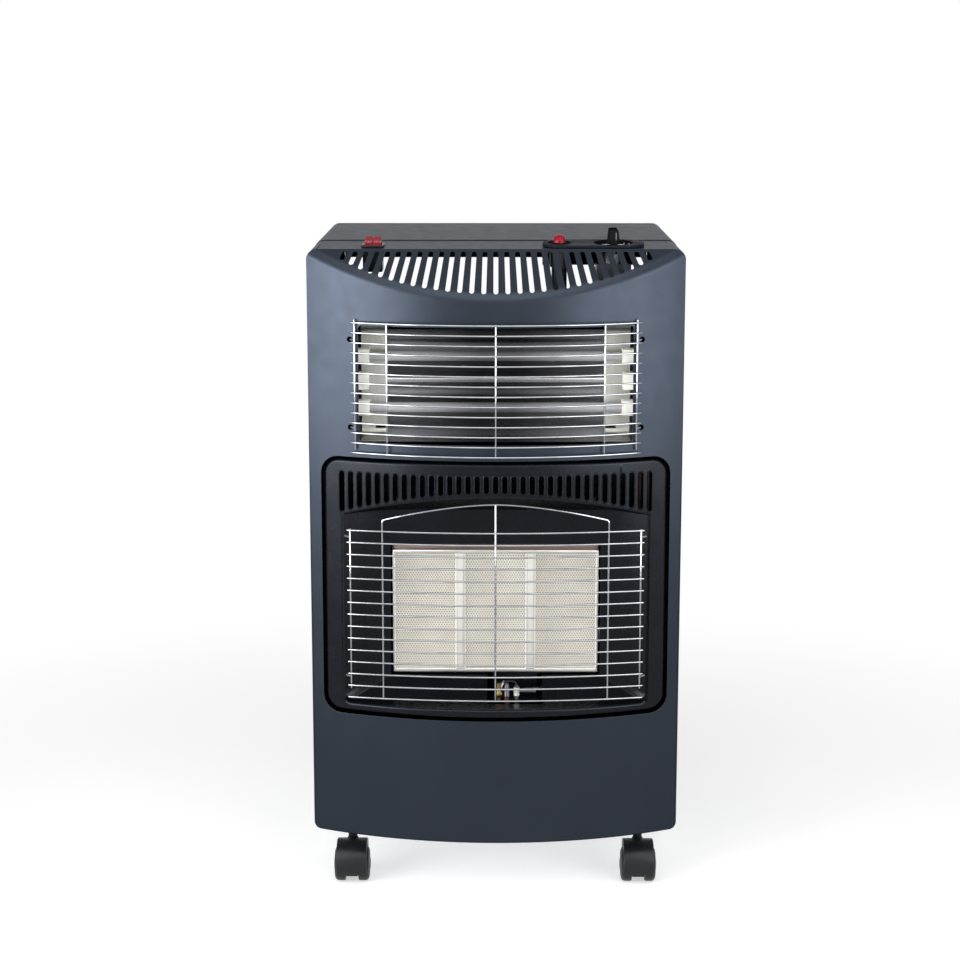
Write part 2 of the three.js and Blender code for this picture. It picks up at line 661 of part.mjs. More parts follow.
function burnerSurround() {
  const inset = SHEET + 0.6;
  const outline = (shrink) => roundedRectangle(-RIM.half + shrink, RIM.half - shrink,
    RIM.low + shrink, RIM.high - shrink, RIM.radius - shrink);
  const rear = THROAT.y + SURROUND_SHEET;
  const block = solidOf(prismZ(bowPlan(WIDTH / 2 - 12, rear, inset), RIM.low, RIM.high))
    .intersect(solidOf(prismY(outline(0), -BOW, rear)));
  const rimDepth = 2;
  const hollow = solidOf(prismZ(bowPlan(WIDTH / 2 - 12, rear + 5, inset + SURROUND_SHEET), RIM.low, RIM.high))
    .intersect(solidOf(prismY(outline(SURROUND_SHEET), -BOW, rear + 5)))
    .subtract(recessSolid(SURROUND_SHEET, -BOW - 10, rear));
  const skirt = boxSolid([-WIDTH, WIDTH], [rimDepth, rear + 5], [RIM.low - 5, RIM.high + 5])
    .subtract(recessSolid(SURROUND_SHEET, -BOW - 10, rear));
  const pitch = (2 * RECESS.half - 2) / (LOUVRES - 1);
  const louvres = Array.from({ length: LOUVRES }, (_, i) => {
    const x = (i - (LOUVRES - 1) / 2) * pitch;
    return solidOf(prismY(slotShape(x, archZ(x) + 5.5, 490.5, 5), -BOW - 5, bowY(x) + 4, 2));
  });
  return cut(block, [
    hollow,
    skirt,
    recessSolid(0, -BOW - 10, THROAT.y),
    boxSolid([-118.4, 118.4], [0, rear + 5], [249, 401.5]),
    boxSolid([-9, 53], [-24, rear + 5], [200, 250]),
    ...louvres,
  ]);
}

const BURNER = { half: 117, low: 250.6, high: 394, face: 18.5, pitch: 79.3 };
const PLAQUE = { width: 72, low: 253, high: 391.6, front: 20.3, rear: 32.3 };

function burnerFrame() {
  const { half, low, high, face, pitch } = BURNER;
  const sheet = 1.2;
  const window = 35;
  const border = 4;
  const tray = boxSolid([-half, half], [face, 34], [low, high])
    .subtract(boxSolid([-half + sheet, half - sheet], [face + sheet, 40], [low + sheet, high - sheet]));
  const lip = boxSolid([-104, 104], [face + 4, face + 5.2], [high - 1, high + 6]);
  const windows = [-pitch, 0, pitch].map((x) => (
    boxSolid([x - window, x + window], [face - 5, face + 1.5], [low + border, high - border])));
  return cut(tray, windows).add(lip);
}

function plaque(x) {
  const half = PLAQUE.width / 2;
  return box([x - half, x + half], [PLAQUE.front, PLAQUE.rear], [PLAQUE.low, PLAQUE.high]);
}

const MIXER = { z: 290, y: 47 };

function burnerPlenum() {
  const half = BURNER.half - 2;
  const block = boxSolid([-half, half], [34 + GAP, 62], [BURNER.low + 2, BURNER.high - 2]);
  const inside = boxSolid([-half + 1.5, half - 1.5], [30, 60.5], [BURNER.low + 3.5, BURNER.high - 3.5]);
  const neck = solidOf(rodX(9, half - 5, half + 5, 14)).translate([0, MIXER.y, MIXER.z]);
  return cut(block, [inside, neck]);
}

function mixingTube() {
  const start = BURNER.half - 1.6;
  const profile = [[8, start], [10, start], [10, start + 28], [13, start + 38], [13, start + 41],
    [11.5, start + 41], [8, start + 28], [8, start]];
  const tube = solidOf(turnedX(profile, 16));
  const yoke = [-1, 1].map((side) => (
    boxSolid([start + 38, start + 52], [-4, 4], side > 0 ? [10.5, 13] : [-13, -10.5])));
  const end = boxSolid([start + 50, start + 53], [-7, 7], [-13, 13])
    .subtract(solidOf(rodX(4.6, start + 45, start + 60, 12)));
  return union([tube, ...yoke, end]).translate([0, MIXER.y, MIXER.z]);
}

function gasInjector() {
  const start = BURNER.half + 44;
  const profile = [[0, start], [2.5, start], [4.2, start + 4], [4.2, start + 8], [6.2, start + 8],
    [6.2, start + 17], [0, start + 17]];
  return turnedX(profile, 12).translate(0, MIXER.y, MIXER.z);
}

function gasPipe() {
  const start = DIAL.x + 27 + GAP;
  const end = BURNER.half + 61 + GAP;
  return tubeAlong([
    [start, DIAL.y, PORT_Z], [start + 10, DIAL.y, PORT_Z], [start + 22, DIAL.y + 1, PORT_Z - 6],
    [start + 27, DIAL.y + 5, PORT_Z - 24], [start + 27.5, DIAL.y + 14, PORT_Z - 70],
    [start + 28, MIXER.y, 560], [start + 28, MIXER.y, 430], [start + 28, MIXER.y, 330],
    [start + 27, MIXER.y, MIXER.z + 14], [start + 24, MIXER.y, MIXER.z + 3],
    [end + 2, MIXER.y, MIXER.z], [end, MIXER.y, MIXER.z],
  ], 3, 24, 8);
}

// ---- pilot -------------------------------------------------------------------------------

const PILOT_Y = -2;
const PILOT_SHELF = 226;

function pilotBracket() {
  const shelf = boxSolid([-3, 48], [PILOT_Y - 8, 26], [PILOT_SHELF - 1.4, PILOT_SHELF]);
  const riser = boxSolid([-3, 48], [24.6, 26], [PILOT_SHELF - 1.4, BURNER.low - GAP]);
  const holes = [[4, 3.6], [13, 3.6], [24, 3.6]].map(([x, r]) => (
    solidOf(rodZ(r, PILOT_SHELF - 5, PILOT_SHELF + 5, 10)).translate([x, PILOT_Y, 0])));
  return cut(shelf.add(riser), holes);
}

function pilotBurner() {
  const nozzle = solidOf(turnedZ([[0, 222], [3.2, 222], [3.2, 238], [2.2, 243.5], [0, 243.5]], 10))
    .translate([4, PILOT_Y, 0]);
  const elbow = solidOf(rodY(2.6, PILOT_Y, 7.5, 8)).translate([4, 0, 234]);
  const socket = boxSolid([1.4, 8.5], [2.6, 8.4], [231, 237]);
  return union([nozzle, elbow, socket]);
}

function thermocouple() {
  const probe = solidOf(turnedZ([[0, 218], [1.6, 218], [3.3, 220], [3.3, 238], [2, 243.5], [0, 244]], 10))
    .translate([13, PILOT_Y, 0]);
  const rise = 162.5;
  const wire = solidOf(tubeAlong([
    [13, PILOT_Y, 219], [13, PILOT_Y + 2, 210], [22, 14, 206], [60, 27, 206], [140, 29, 206],
    [rise - 3, 30, 214], [rise, 30, 240], [rise, 30, 420], [rise, 30, 640], [rise, 31, 662],
    [rise - 5, 33, 669], [148, 36, 670.5], [DIAL.x + 9, DIAL.y + 6, 671], [DIAL.x + 8, DIAL.y + 6, 675.7],
  ], 1.3, 28, 5));
  return probe.add(wire);
}

function sparkElectrode() {
  const insulator = solidOf(turnedZ([[0, 219], [2.2, 219], [3.2, 221], [3.2, 240], [2.2, 241.4], [0, 241.4]], 10))
    .translate([24, PILOT_Y, 0]);
  const wire = solidOf(tubeAlong([
    [24, PILOT_Y, 240.5], [23.5, PILOT_Y, 244], [19, PILOT_Y - 1.5, 246.6], [12, PILOT_Y - 5, 247.2],
    [6.5, PILOT_Y - 5, 246.2],
  ], 0.8, 8, 5));
  return insulator.add(wire);
}

function pilotPipe() {
  const start = DIAL.x + 25 + GAP;
  const drop = 171.5;
  return tubeAlong([
    [start, DIAL.y - 9, 688], [start + 7, DIAL.y - 9, 688], [drop - 2, DIAL.y - 8, 682],
    [drop, 23, 660], [drop, 22, 560], [drop, 22, 400], [drop, 22, 262], [drop - 4, 22, 243],
    [drop - 18, 21, 234.5], [110, 20.5, 234], [66, 20.5, 234], [52, 14, 234], [42, 6.5, 234],
    [20, 5.5, 234], [8.5 + GAP, 5.5, 234],
  ], 1.8, 30, 6);
}

function ignitionLead() {
  return tubeAlong([
    [BUTTON.x, BUTTON.y, 670 - GAP], [BUTTON.x, BUTTON.y, 666.5], [BUTTON.x, 42, 663.5],
    [BUTTON.x, 58, 659], [BUTTON.x, 64.5, 644], [BUTTON.x, 64.5, 520], [BUTTON.x, 64.5, 380],
    [BUTTON.x, 64.5, 250], [64, 56, 226], [44, 26, 213], [28, 4, 211], [24, PILOT_Y, 214.5],
    [24, PILOT_Y, 219 - GAP],
  ], 1.25, 26, 5);
}

// ---- mains inlet -------------------------------------------------------------------------

function cableGland() {
  const profile = [[3.6, REAR - 8], [8.2, REAR - 8], [8.2, REAR - SHEET - GAP], [5.9, REAR - SHEET - GAP],
    [5.9, REAR + GAP], [8.2, REAR + GAP], [7, REAR + 3.4], [3.6, REAR + 3.4], [3.6, REAR - 8]];
  return turnedY(profile, 14).translate(GLAND.x, 0, GLAND.z);
}

// ---- casters -----------------------------------------------------------------------------

const WHEEL = { radius: 20, inner: 7.3, outer: 20 };
const TRAIL = 14;                 // how far the wheels stand before the stem
const AXLE_RADIUS = 3;

function casterFork() {
  const inner = [];
  for (let i = 0; i <= 6; i += 1) {
    const angle = THREE.MathUtils.degToRad(6 + (i / 6) * 186);
    inner.push([21.2 * Math.cos(angle), 21.2 * Math.sin(angle)]);
  }
  const outer = [[-24.4, -5], [-24.6, 7], [-20.5, 18], [-13, 27], [-5, 31], [21, 31], [26, 26], [25, 2]];
  const hood = solidOf(prismX(polygon([...inner, ...outer]), -16.6, 16.6));
  const web = solidOf(prismX(polygon([[-10, -13], [10, -13], [15, -4], [15, 24], [-12, 24], [-15, 4]]), -6.8, 6.8));
  const stem = solidOf(rodZ(8, 26, 33, 12)).add(solidOf(rodZ(STEM_RADIUS, 30, 56, 10))).translate([0, TRAIL, 0]);
  return union([hood, web, stem])
    .subtract(solidOf(rodX(AXLE_RADIUS + 0.2, -20, 20, 12)));
}

function casterWheel() {
  const { radius, inner, outer } = WHEEL;
  const bore = AXLE_RADIUS + 0.2;
  const profile = [[bore, inner], [radius - 1, inner], [radius, inner + 1], [radius, outer - 4.5],
    [radius - 4.5, outer], [bore, outer], [bore, inner]];
  return turnedX(profile, 16);
}

function addCaster(name, x, stemY, parent) {
  const caster = new THREE.Group();
  caster.position.set(x, stemY - TRAIL, WHEEL.radius);
  parent.add(caster);
  place(`${name}_fork`, casterFork(), FINISH.blackPlastic, caster);
  place(`${name}_axle`, rodX(AXLE_RADIUS, -18.3, 18.3, 12), FINISH.silver, caster);
  place(`${name}_wheel_right`, casterWheel(), FINISH.blackPlastic, caster);
  place(`${name}_wheel_left`, casterWheel().rotateZ(Math.PI), FINISH.blackPlastic, caster);
}

// ---- assembly ----------------------------------------------------------------------------

const heater = new THREE.Group();
heater.position.y = -CENTRE_Y;

place('front_panel', frontPanel(), FINISH.paint, heater);
place('left_side_panel', sidePanel(-1), FINISH.paint, heater);
place('right_side_panel', sidePanel(1), FINISH.paint, heater);
place('top_cover', topCover(), FINISH.paint, heater);
place('base_plate', basePlate(), FINISH.galvanised, heater);
place('rear_cover', rearCover(), FINISH.paint, heater);
place('heat_shield', heatShield(), FINISH.galvanised, heater);

place('control_escutcheon', escutcheon(), FINISH.blackPlastic, heater);
place('dial_ring', dialRing(), FINISH.blackPlastic, heater);
place('gas_knob', gasKnob(), FINISH.blackPlastic, heater);
place('valve_spindle', valveSpindle(), FINISH.silver, heater);
place('gas_valve', gasValve(), FINISH.galvanised, heater);
place('hose_tail', hoseTail(), FINISH.brass, heater);
place('igniter_body', igniterBody(), FINISH.blackPlastic, heater);
place('igniter_button', igniterButton(), FINISH.redPlastic, heater);
place('switch_housing', switchHousing(), FINISH.blackPlastic, heater);
place('rocker_left', rocker(SWITCH.x - 4.7), FINISH.redPlastic, heater);
place('rocker_right', rocker(SWITCH.x + 4.7), FINISH.redPlastic, heater);

place('upper_guard', upperGuard(), FINISH.chrome, heater);
place('reflector_housing', reflectorHousing(), FINISH.black, heater);
place('reflector', reflector(), FINISH.polished, heater);
for (const [level, z] of Object.entries(TUBES)) {
  place(`quartz_tube_${level}`, quartzTube(z), FINISH.quartz, heater);
  place(`tube_holder_${level}_left`, tubeHolder(-1, z), FINISH.porcelain, heater);
  place(`tube_holder_${level}_right`, tubeHolder(1, z), FINISH.porcelain, heater);
}

place('burner_surround', burnerSurround(), FINISH.black, heater);
place('lower_guard', lowerGuard(), FINISH.chrome, heater);
place('burner_frame', burnerFrame(), FINISH.stainless, heater);
place('plaque_left', plaque(-BURNER.pitch), FINISH.ceramic, heater);
place('plaque_middle', plaque(0), FINISH.ceramic, heater);
place('plaque_right', plaque(BURNER.pitch), FINISH.ceramic, heater);
place('burner_plenum', burnerPlenum(), FINISH.galvanised, heater);
place('mixing_tube', mixingTube(), FINISH.galvanised, heater);
place('gas_injector', gasInjector(), FINISH.brass, heater);
place('gas_pipe', gasPipe(), FINISH.copper, heater);
place('pilot_bracket', pilotBracket(), FINISH.galvanised, heater);
place('pilot_burner', pilotBurner(), FINISH.brass, heater);
place('thermocouple', thermocouple(), FINISH.copper, heater);
place('spark_electrode', sparkElectrode(), FINISH.porcelain, heater);
place('pilot_pipe', pilotPipe(), FINISH.silver, heater);
place('ignition_lead', ignitionLead(), FINISH.lead, heater);
place('cable_gland', cableGland(), FINISH.blackPlastic, heater);

for (const [end, stemY] of Object.entries(STEMS_Y)) {
  addCaster(`${end}_left_caster`, -CASTER_X, stemY, heater);
  addCaster(`${end}_right_caster`, CASTER_X, stemY, heater);
}

export default heater;
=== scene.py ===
"""Portable gas cabinet heater: finishes, detailed pieces and stage, built on its CAD frame."""

import math

import bmesh
import bpy
from mathutils import Matrix, Vector


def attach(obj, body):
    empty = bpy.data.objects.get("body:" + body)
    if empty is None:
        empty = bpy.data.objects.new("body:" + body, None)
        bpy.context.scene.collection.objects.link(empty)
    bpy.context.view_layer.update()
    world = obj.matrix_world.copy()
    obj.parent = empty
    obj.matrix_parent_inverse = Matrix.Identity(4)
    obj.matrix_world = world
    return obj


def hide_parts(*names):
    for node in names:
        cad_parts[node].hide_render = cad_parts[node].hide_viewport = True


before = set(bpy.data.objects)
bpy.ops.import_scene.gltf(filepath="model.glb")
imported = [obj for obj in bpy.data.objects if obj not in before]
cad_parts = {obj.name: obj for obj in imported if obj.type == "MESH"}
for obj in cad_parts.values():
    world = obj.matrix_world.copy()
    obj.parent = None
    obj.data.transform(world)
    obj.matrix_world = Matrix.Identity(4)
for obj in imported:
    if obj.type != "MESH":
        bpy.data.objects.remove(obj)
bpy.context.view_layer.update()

bl_info = {
    "name": "Gas cabinet heater",
    "version": (1, 0, 0),
    "blender": (4, 5, 0),
    "location": "3D View > Sidebar > Heater",
    "description": "Builds the visible pieces and finishes of a portable gas cabinet heater",
    "category": "Object",
}

# Lengths below are millimetres. Y is counted back from the front edges of the cabinet's sides.
MM = 0.001
FRONT_Y = -0.157725
WIDTH = 415
HEIGHT = 734
REAR = 373
PANEL_LOW = 70
SEAM = 112.5
RETURN = 14
SHEET = 1.2
SCOOP = math.radians(43.3)
SCOOP_OUT = Vector((0, -math.sin(SCOOP), math.cos(SCOOP)))
SCOOP_UP = Vector((0, math.cos(SCOOP), math.sin(SCOOP)))
VENT_PITCH = 11.65
VENT_FAN = 520
# The window and the hearth's hole: half the width, lower and upper edge, radius of the corners and its steps.
OPENINGS = ((150, 525, 653, 4, 5), (193.5, 213.3, 507.3, 20, 10))
DIAL = (129.5, 31)
BUTTON = (70, 31)
SWITCH = (-135.8, 34)
COUNTER = HEIGHT + 0.3
PLATE_X = (51.4, 163.6)
PLATE_HALF = 23
PLATE_SLOPE = 0.075
KNOB_HALF = 18.4
SPINDLE_BORE = 4.25
HOOK_X = 159.3
HOOKS = (540.5, 637.5)
TUBES = {"upper": 615, "lower": 557.5}
TUBE_Y = 12
COIL_HALF = 136
UPPER_BOW = (159, -26, -59.6)
LOWER_BOW = (165, -20.5, -38)
HEARTH = (216.8, 503.8)
RECESS_HALF = 171
ARCH_TOP = 466
THROAT_HALF = 130
PLAQUES = {"left": -79.3, "middle": 0, "right": 79.3}
PLAQUE_HALF = 36
PILOT_Y = -2
CASTER_X = 165.6
STEMS = {"front": 37, "rear": 351}
HUB_Z = 20
LEFT, RIGHT, BEHIND, AHEAD, UP, DOWN = (-1, 0, 0), (1, 0, 0), (0, 1, 0), (0, -1, 0), (0, 0, 1), (0, 0, -1)


# ---- sizes and colours -----------------------------------------------------------------------

def length(name, description, millimetres):
    return bpy.props.FloatProperty(
        name=name, description=description, default=millimetres * MM, min=0, unit="LENGTH")


def colour(name, description, red, green, blue):
    """A colour setting, given as the eye sees it from 0 to 255."""
    def linear(value):
        value /= 255
        return value / 12.92 if value <= 0.04045 else ((value + 0.055) / 1.055) ** 2.4
    return bpy.props.FloatVectorProperty(
        name=name, description=description, subtype="COLOR", min=0, max=1,
        default=(linear(red), linear(green), linear(blue)))


class CabinetSizes(bpy.types.PropertyGroup):
    """Sizes of the cabinet's front."""
    bow: length("Bow", "How far the middle of the front stands before its sides", 50)
    edge: length("Edge", "Rounding of the front's outline", 4.5)
    scoop_edge: length("Scoop edge", "Rounding between the scoop and the bowed face", 8)
    shoulder: length("Shoulder", "Rounding of the upper long edges", 12)
    slot: length("Vent slot", "Width of the vent slots in the scoop", 5.2)
    slots: bpy.props.IntProperty(
        name="Vent slots", description="Number of vent slots in the scoop", default=29, min=1)
    louvres: bpy.props.IntProperty(
        name="Louvres", description="Number of louvres above the burner", default=35, min=1)


class GuardSizes(bpy.types.PropertyGroup):
    """Sizes of the two wire guards."""
    wire: length("Wire", "Thickness of a guard wire", 2)
    upper_wires: bpy.props.IntProperty(
        name="Upper wires", description="Cross wires of the upper guard", default=14, min=2)
    lower_wires: bpy.props.IntProperty(
        name="Lower wires", description="Cross wires of the lower guard", default=15, min=2)


class HeaterColours(bpy.types.PropertyGroup):
    """Colours of the paints, plastics and ceramics."""
    paint: colour("Paint", "Metallic paint of the cabinet", 44, 49, 57)
    enamel: colour("Enamel", "Heat-resistant enamel round the burner", 6, 7, 11)
    plastic: colour("Plastic", "Black plastic of knob, switch and casters", 24, 25, 27)
    surround: colour("Control plate", "Plastic plate round the gas controls", 26, 29, 36)
    red: colour("Red", "Switches and ignition button", 122, 9, 24)
    plaque: colour("Plaque", "Perforated burner plaques", 200, 195, 184)
    porcelain: colour("Porcelain", "Tube holders and electrode", 236, 234, 226)


# ---- working by hand -------------------------------------------------------------------------

def at(x, y, z):
    """A place in the heater, from millimetres."""
    return Vector((x * MM, y * MM + FRONT_Y, z * MM))


ORIGIN = at(0, 0, 0)


def spot(corner):
    """The place of a corner, in millimetres."""
    return (corner.co - ORIGIN) / MM


def moved(start, end, turn=Matrix.Identity(4)):
    """Turns a piece about start and carries it from there to end."""
    return Matrix.Translation(end) @ turn @ Matrix.Translation(-start)


def only(*pieces):
    """Selects these pieces and nothing else, in object mode."""
    if bpy.context.object and bpy.context.object.mode != "OBJECT":
        bpy.ops.object.mode_set(mode="OBJECT")
    bpy.ops.object.select_all(action="DESELECT")
    for piece in pieces:
        piece.select_set(True)
    if pieces:
        bpy.context.view_layer.objects.active = pieces[0]


def settle(name=None):
    """Puts the active object's place into its mesh, and names it."""
    piece = bpy.context.object
    bpy.ops.object.transform_apply(location=True, rotation=True, scale=True)
    if name:
        piece.name = piece.data.name = name
    return piece


def pick(piece, kind, choose):
    """Selects the faces, edges or corners that choose accepts, in edit mode."""
    if bpy.context.object is not piece or piece.mode != "EDIT":
        only(piece)
        bpy.ops.object.mode_set(mode="EDIT")
    bpy.ops.mesh.select_mode(type=kind)
    bpy.ops.mesh.select_all(action="DESELECT")
    mesh = bmesh.from_edit_mesh(piece.data)
    for part in {"FACE": mesh.faces, "EDGE": mesh.edges, "VERT": mesh.verts}[kind]:
        if choose(part):
            part.select_set(True)
    bmesh.update_edit_mesh(piece.data)


def everything(part):
    return True


def tidy(piece, fill=False, merge=0.002):
    """Merges doubled corners, closes holes if asked, and turns the faces outwards."""
    pick(piece, "VERT", everything)
    bpy.ops.mesh.remove_doubles(threshold=merge * MM)
    if fill:
        bpy.ops.mesh.select_all(action="SELECT")
        bpy.ops.mesh.fill_holes(sides=0)
    bpy.ops.mesh.select_all(action="SELECT")
    bpy.ops.mesh.normals_make_consistent(inside=False)
    mesh = bmesh.from_edit_mesh(piece.data)
    if all(edge.is_manifold for edge in mesh.edges) and mesh.calc_volume(signed=True) < 0:
        bpy.ops.mesh.flip_normals()
    bpy.ops.object.mode_set(mode="OBJECT")
    return piece


def discard(*pieces):
    for piece in pieces:
        bpy.data.objects.remove(piece, do_unlink=True)


def block(name, x, y, z):
    """A box between two x, two y and two z."""
    low, high = at(x[0], y[0], z[0]), at(x[1], y[1], z[1])
    only()
    bpy.ops.mesh.primitive_cube_add(size=1, location=(low + high) / 2, scale=high - low)
    return settle(name)


def prism(name, outline, across, start, end):
    """An outline of (a, b) points given a depth: across x it is (y, z), across y (x, z), across z (x, y)."""
    place = {
        "x": lambda a, b: at(start, a, b),
        "y": lambda a, b: at(a, start, b),
        "z": lambda a, b: at(a, b, start),
    }[across]
    push = {"x": (1, 0, 0), "y": (0, 1, 0), "z": (0, 0, 1)}[across]
    only()
    bpy.ops.mesh.primitive_circle_add(vertices=len(outline), radius=1, fill_type="NGON")
    piece = settle(name)
    for corner, point in zip(piece.data.vertices, outline):
        corner.co = place(*point)
    pick(piece, "FACE", everything)
    bpy.ops.mesh.extrude_region_move(
        TRANSFORM_OT_translate={"value": Vector(push) * (end - start) * MM})
    return tidy(piece)


FACING = {"x": Matrix.Rotation(math.pi / 2, 4, "Y"), "y": Matrix.Rotation(-math.pi / 2, 4, "X"),
          "z": Matrix.Identity(4)}


def turned(name, profile, axis, centre, sides=32, base=0):
    """A turned piece: (radius, distance from base) steps along an axis. Equal ends make a ring."""
    ring = profile[0] == profile[-1]
    profile = [(radius, base + step) for radius, step in profile]
    only()
    bpy.ops.mesh.primitive_circle_add(
        vertices=sides, radius=profile[0][0] * MM, location=(0, 0, profile[0][1] * MM),
        fill_type="NOTHING" if ring else "NGON")
    piece = settle(name)
    pick(piece, "EDGE" if ring else "FACE", everything)
    push = bpy.ops.mesh.extrude_edges_move if ring else bpy.ops.mesh.extrude_region_move
    for (radius, height), (next_radius, next_height) in zip(profile, profile[1:]):
        push(TRANSFORM_OT_translate={"value": (0, 0, (next_height - height) * MM)})
        size = next_radius / radius
        bpy.ops.transform.resize(value=(size, size, 1), center_override=(0, 0, next_height * MM))
    tidy(piece)
    piece.data.transform(Matrix.Translation(centre) @ FACING[axis])
    return piece


def rod(name, radius, axis, centre, start, end, sides=24, rounding=0):
    """A round bar, with its ends rounded if asked."""
    profile = [(radius, start), (radius, end)]
    if rounding:
        inner, part = radius - rounding, 0.3 * rounding
        profile = [(inner, start), (radius - part, start + part), (radius, start + rounding),
                   (radius, end - rounding), (radius - part, end - part), (inner, end)]
    return turned(name, profile, axis, centre, sides)


def bevel(piece, choose, width, segments=3, clamp=False):
    """Rounds the edges that choose accepts."""
    pick(piece, "EDGE", choose)
    bpy.ops.mesh.bevel(offset=width * MM, segments=segments, affect="EDGES", clamp_overlap=clamp)
    bpy.ops.object.mode_set(mode="OBJECT")
    return piece


def soften(piece, width, segments=2, angle=50, clamp=False):
    """Rounds all sharp edges a little with a modifier."""
    only(piece)
    rounding = piece.modifiers.new("soften", "BEVEL")
    rounding.width = width * MM
    rounding.segments = segments
    rounding.limit_method = "ANGLE"
    rounding.angle_limit = math.radians(angle)
    rounding.use_clamp_overlap = clamp
    rounding.miter_outer = "MITER_ARC"
    bpy.ops.object.modifier_apply(modifier="soften")
    return piece


def thicken(piece, thickness):
    """Gives an open skin the thickness of a sheet, inwards."""
    only(piece)
    wall = piece.modifiers.new("wall", "SOLIDIFY")
    wall.thickness = thickness * MM
    wall.offset = -1
    wall.use_even_offset = True
    bpy.ops.object.modifier_apply(modifier="wall")
    return piece


def join(name, *pieces):
    only(*pieces)
    bpy.ops.object.join()
    piece = bpy.context.object
    piece.name = piece.data.name = name
    return piece


def carve(piece, *tools, how="DIFFERENCE"):
    """Cuts pieces away from a piece, or keeps or adds them, and removes the tools."""
    tool = join("tool", *tools) if len(tools) > 1 else tools[0]
    only(piece)
    step = piece.modifiers.new("carve", "BOOLEAN")
    step.operation = how
    step.solver = "EXACT"
    step.object = tool
    bpy.ops.object.modifier_apply(modifier="carve")
    discard(tool)
    return piece


def copy(piece, name, x=0, y=0, z=0, change=None):
    """A copy with a mesh of its own, moved by millimetres or by a matrix."""
    only(piece)
    bpy.ops.object.duplicate()
    twin = bpy.context.object
    twin.data.transform(change if change else Matrix.Translation((x * MM, y * MM, z * MM)))
    twin.name = twin.data.name = name
    return twin


def mirrored(piece, name):
    """A copy on the other side of the heater, with its faces turned outwards again."""
    return tidy(copy(piece, name, change=Matrix.Scale(-1, 4, (1, 0, 0))))


def facing(*ways):
    """Accepts faces that look one of these ways."""
    return lambda face: any(face.normal.dot(Vector(way)) > 0.99 for way in ways)


def faces_ahead(edge):
    return any(face.normal.y < -0.9 for face in edge.link_faces)


def meeting(first, second):
    """Accepts edges between a face that first accepts and one that second accepts."""
    return lambda edge: (len(edge.link_faces) == 2 and any(map(first, edge.link_faces))
                         and any(map(second, edge.link_faces)))


def edge_along(axis, test=lambda middle: True):
    """Accepts edges that run along an axis, where their middle in millimetres passes the test."""
    def accepts(edge):
        a, b = (corner.co for corner in edge.verts)
        along = (b - a).normalized()
        middle = ((a + b) / 2 - ORIGIN) / MM
        return abs(along["xyz".index(axis)]) > 0.999 and test(middle)
    return accepts


def around(radius, degrees, centre=(0, 0)):
    """Points (a, b) on a circle at these angles."""
    turns = [math.radians(turn) for turn in degrees]
    return [(centre[0] + radius * math.cos(turn), centre[1] + radius * math.sin(turn)) for turn in turns]


def rounded_block(name, x, y, z, radius, axis, segments=5, top_radius=None):
    """A box whose four edges along an axis are rounded."""
    piece = block(name, x, y, z)
    middle_z = (z[0] + z[1]) / 2
    if top_radius is None:
        return bevel(piece, edge_along(axis), radius, segments)
    bevel(piece, edge_along(axis, lambda m: m.z < middle_z), radius, segments)
    return bevel(piece, edge_along(axis, lambda m: m.z > middle_z), top_radius, segments + 3)


def meshed(name, route):
    """Turns a curve into a mesh."""
    piece = bpy.data.objects.new(name, route)
    bpy.context.collection.objects.link(piece)
    only(piece)
    bpy.ops.object.convert(target="MESH")
    return tidy(bpy.context.object)


def wire(name, points, radius, sides=10, bend=4):
    """A round wire along a route whose corners are bent to a radius."""
    route = bpy.data.curves.new(name, "CURVE")
    route.dimensions = "3D"
    line = route.splines.new("BEZIER")
    stops, corners = [Vector(points[0])], [None]
    for before, here, after in zip(points, points[1:], points[2:]):
        reach = min(bend * MM, 0.45 * (here - before).length, 0.45 * (after - here).length)
        stops += [here + (before - here).normalized() * reach, here + (after - here).normalized() * reach]
        corners += [here, here]
    stops.append(Vector(points[-1]))
    corners.append(None)
    line.bezier_points.add(len(stops) - 1)
    for i, (point, stop, corner) in enumerate(zip(line.bezier_points, stops, corners)):
        before, after = stops[max(i - 1, 0)], stops[min(i + 1, len(stops) - 1)]
        left, right = stop + (before - stop) / 3, stop + (after - stop) / 3
        if corner is not None:
            bent = stop + (corner - stop) * 0.6
            left, right = (left, bent) if i % 2 else (bent, right)
        point.co = stop
        point.handle_left_type = point.handle_right_type = "FREE"
        point.handle_left, point.handle_right = left, right
    route.bevel_depth = radius * MM
    route.bevel_resolution = max(1, sides // 4 - 1)
    route.resolution_u = 6
    route.use_fill_caps = True
    return meshed(name, route)


def finish(piece, look, *nodes, body="cabinet", slot=None, angle=40, sheet=False):
    """Smooths a piece, gives it its finish, hangs it on what it rides on and hides the CAD nodes it stands for.
    """
    only(piece)
    bpy.ops.object.shade_smooth_by_angle(angle=math.radians(angle))
    if sheet:
        even = piece.modifiers.new("even", "WEIGHTED_NORMAL")
        even.keep_sharp = True
        bpy.ops.object.modifier_apply(modifier="even")
    if not piece.data.materials:
        piece.data.materials.append(MADE[look])
    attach(piece, body)
    if nodes:
        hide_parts(*nodes)


def dress(look, *nodes):
    """Gives CAD nodes a finish."""
    for name in nodes:
        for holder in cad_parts[name].material_slots:
            holder.material = MADE[look]


# ---- finishes --------------------------------------------------------------------------------

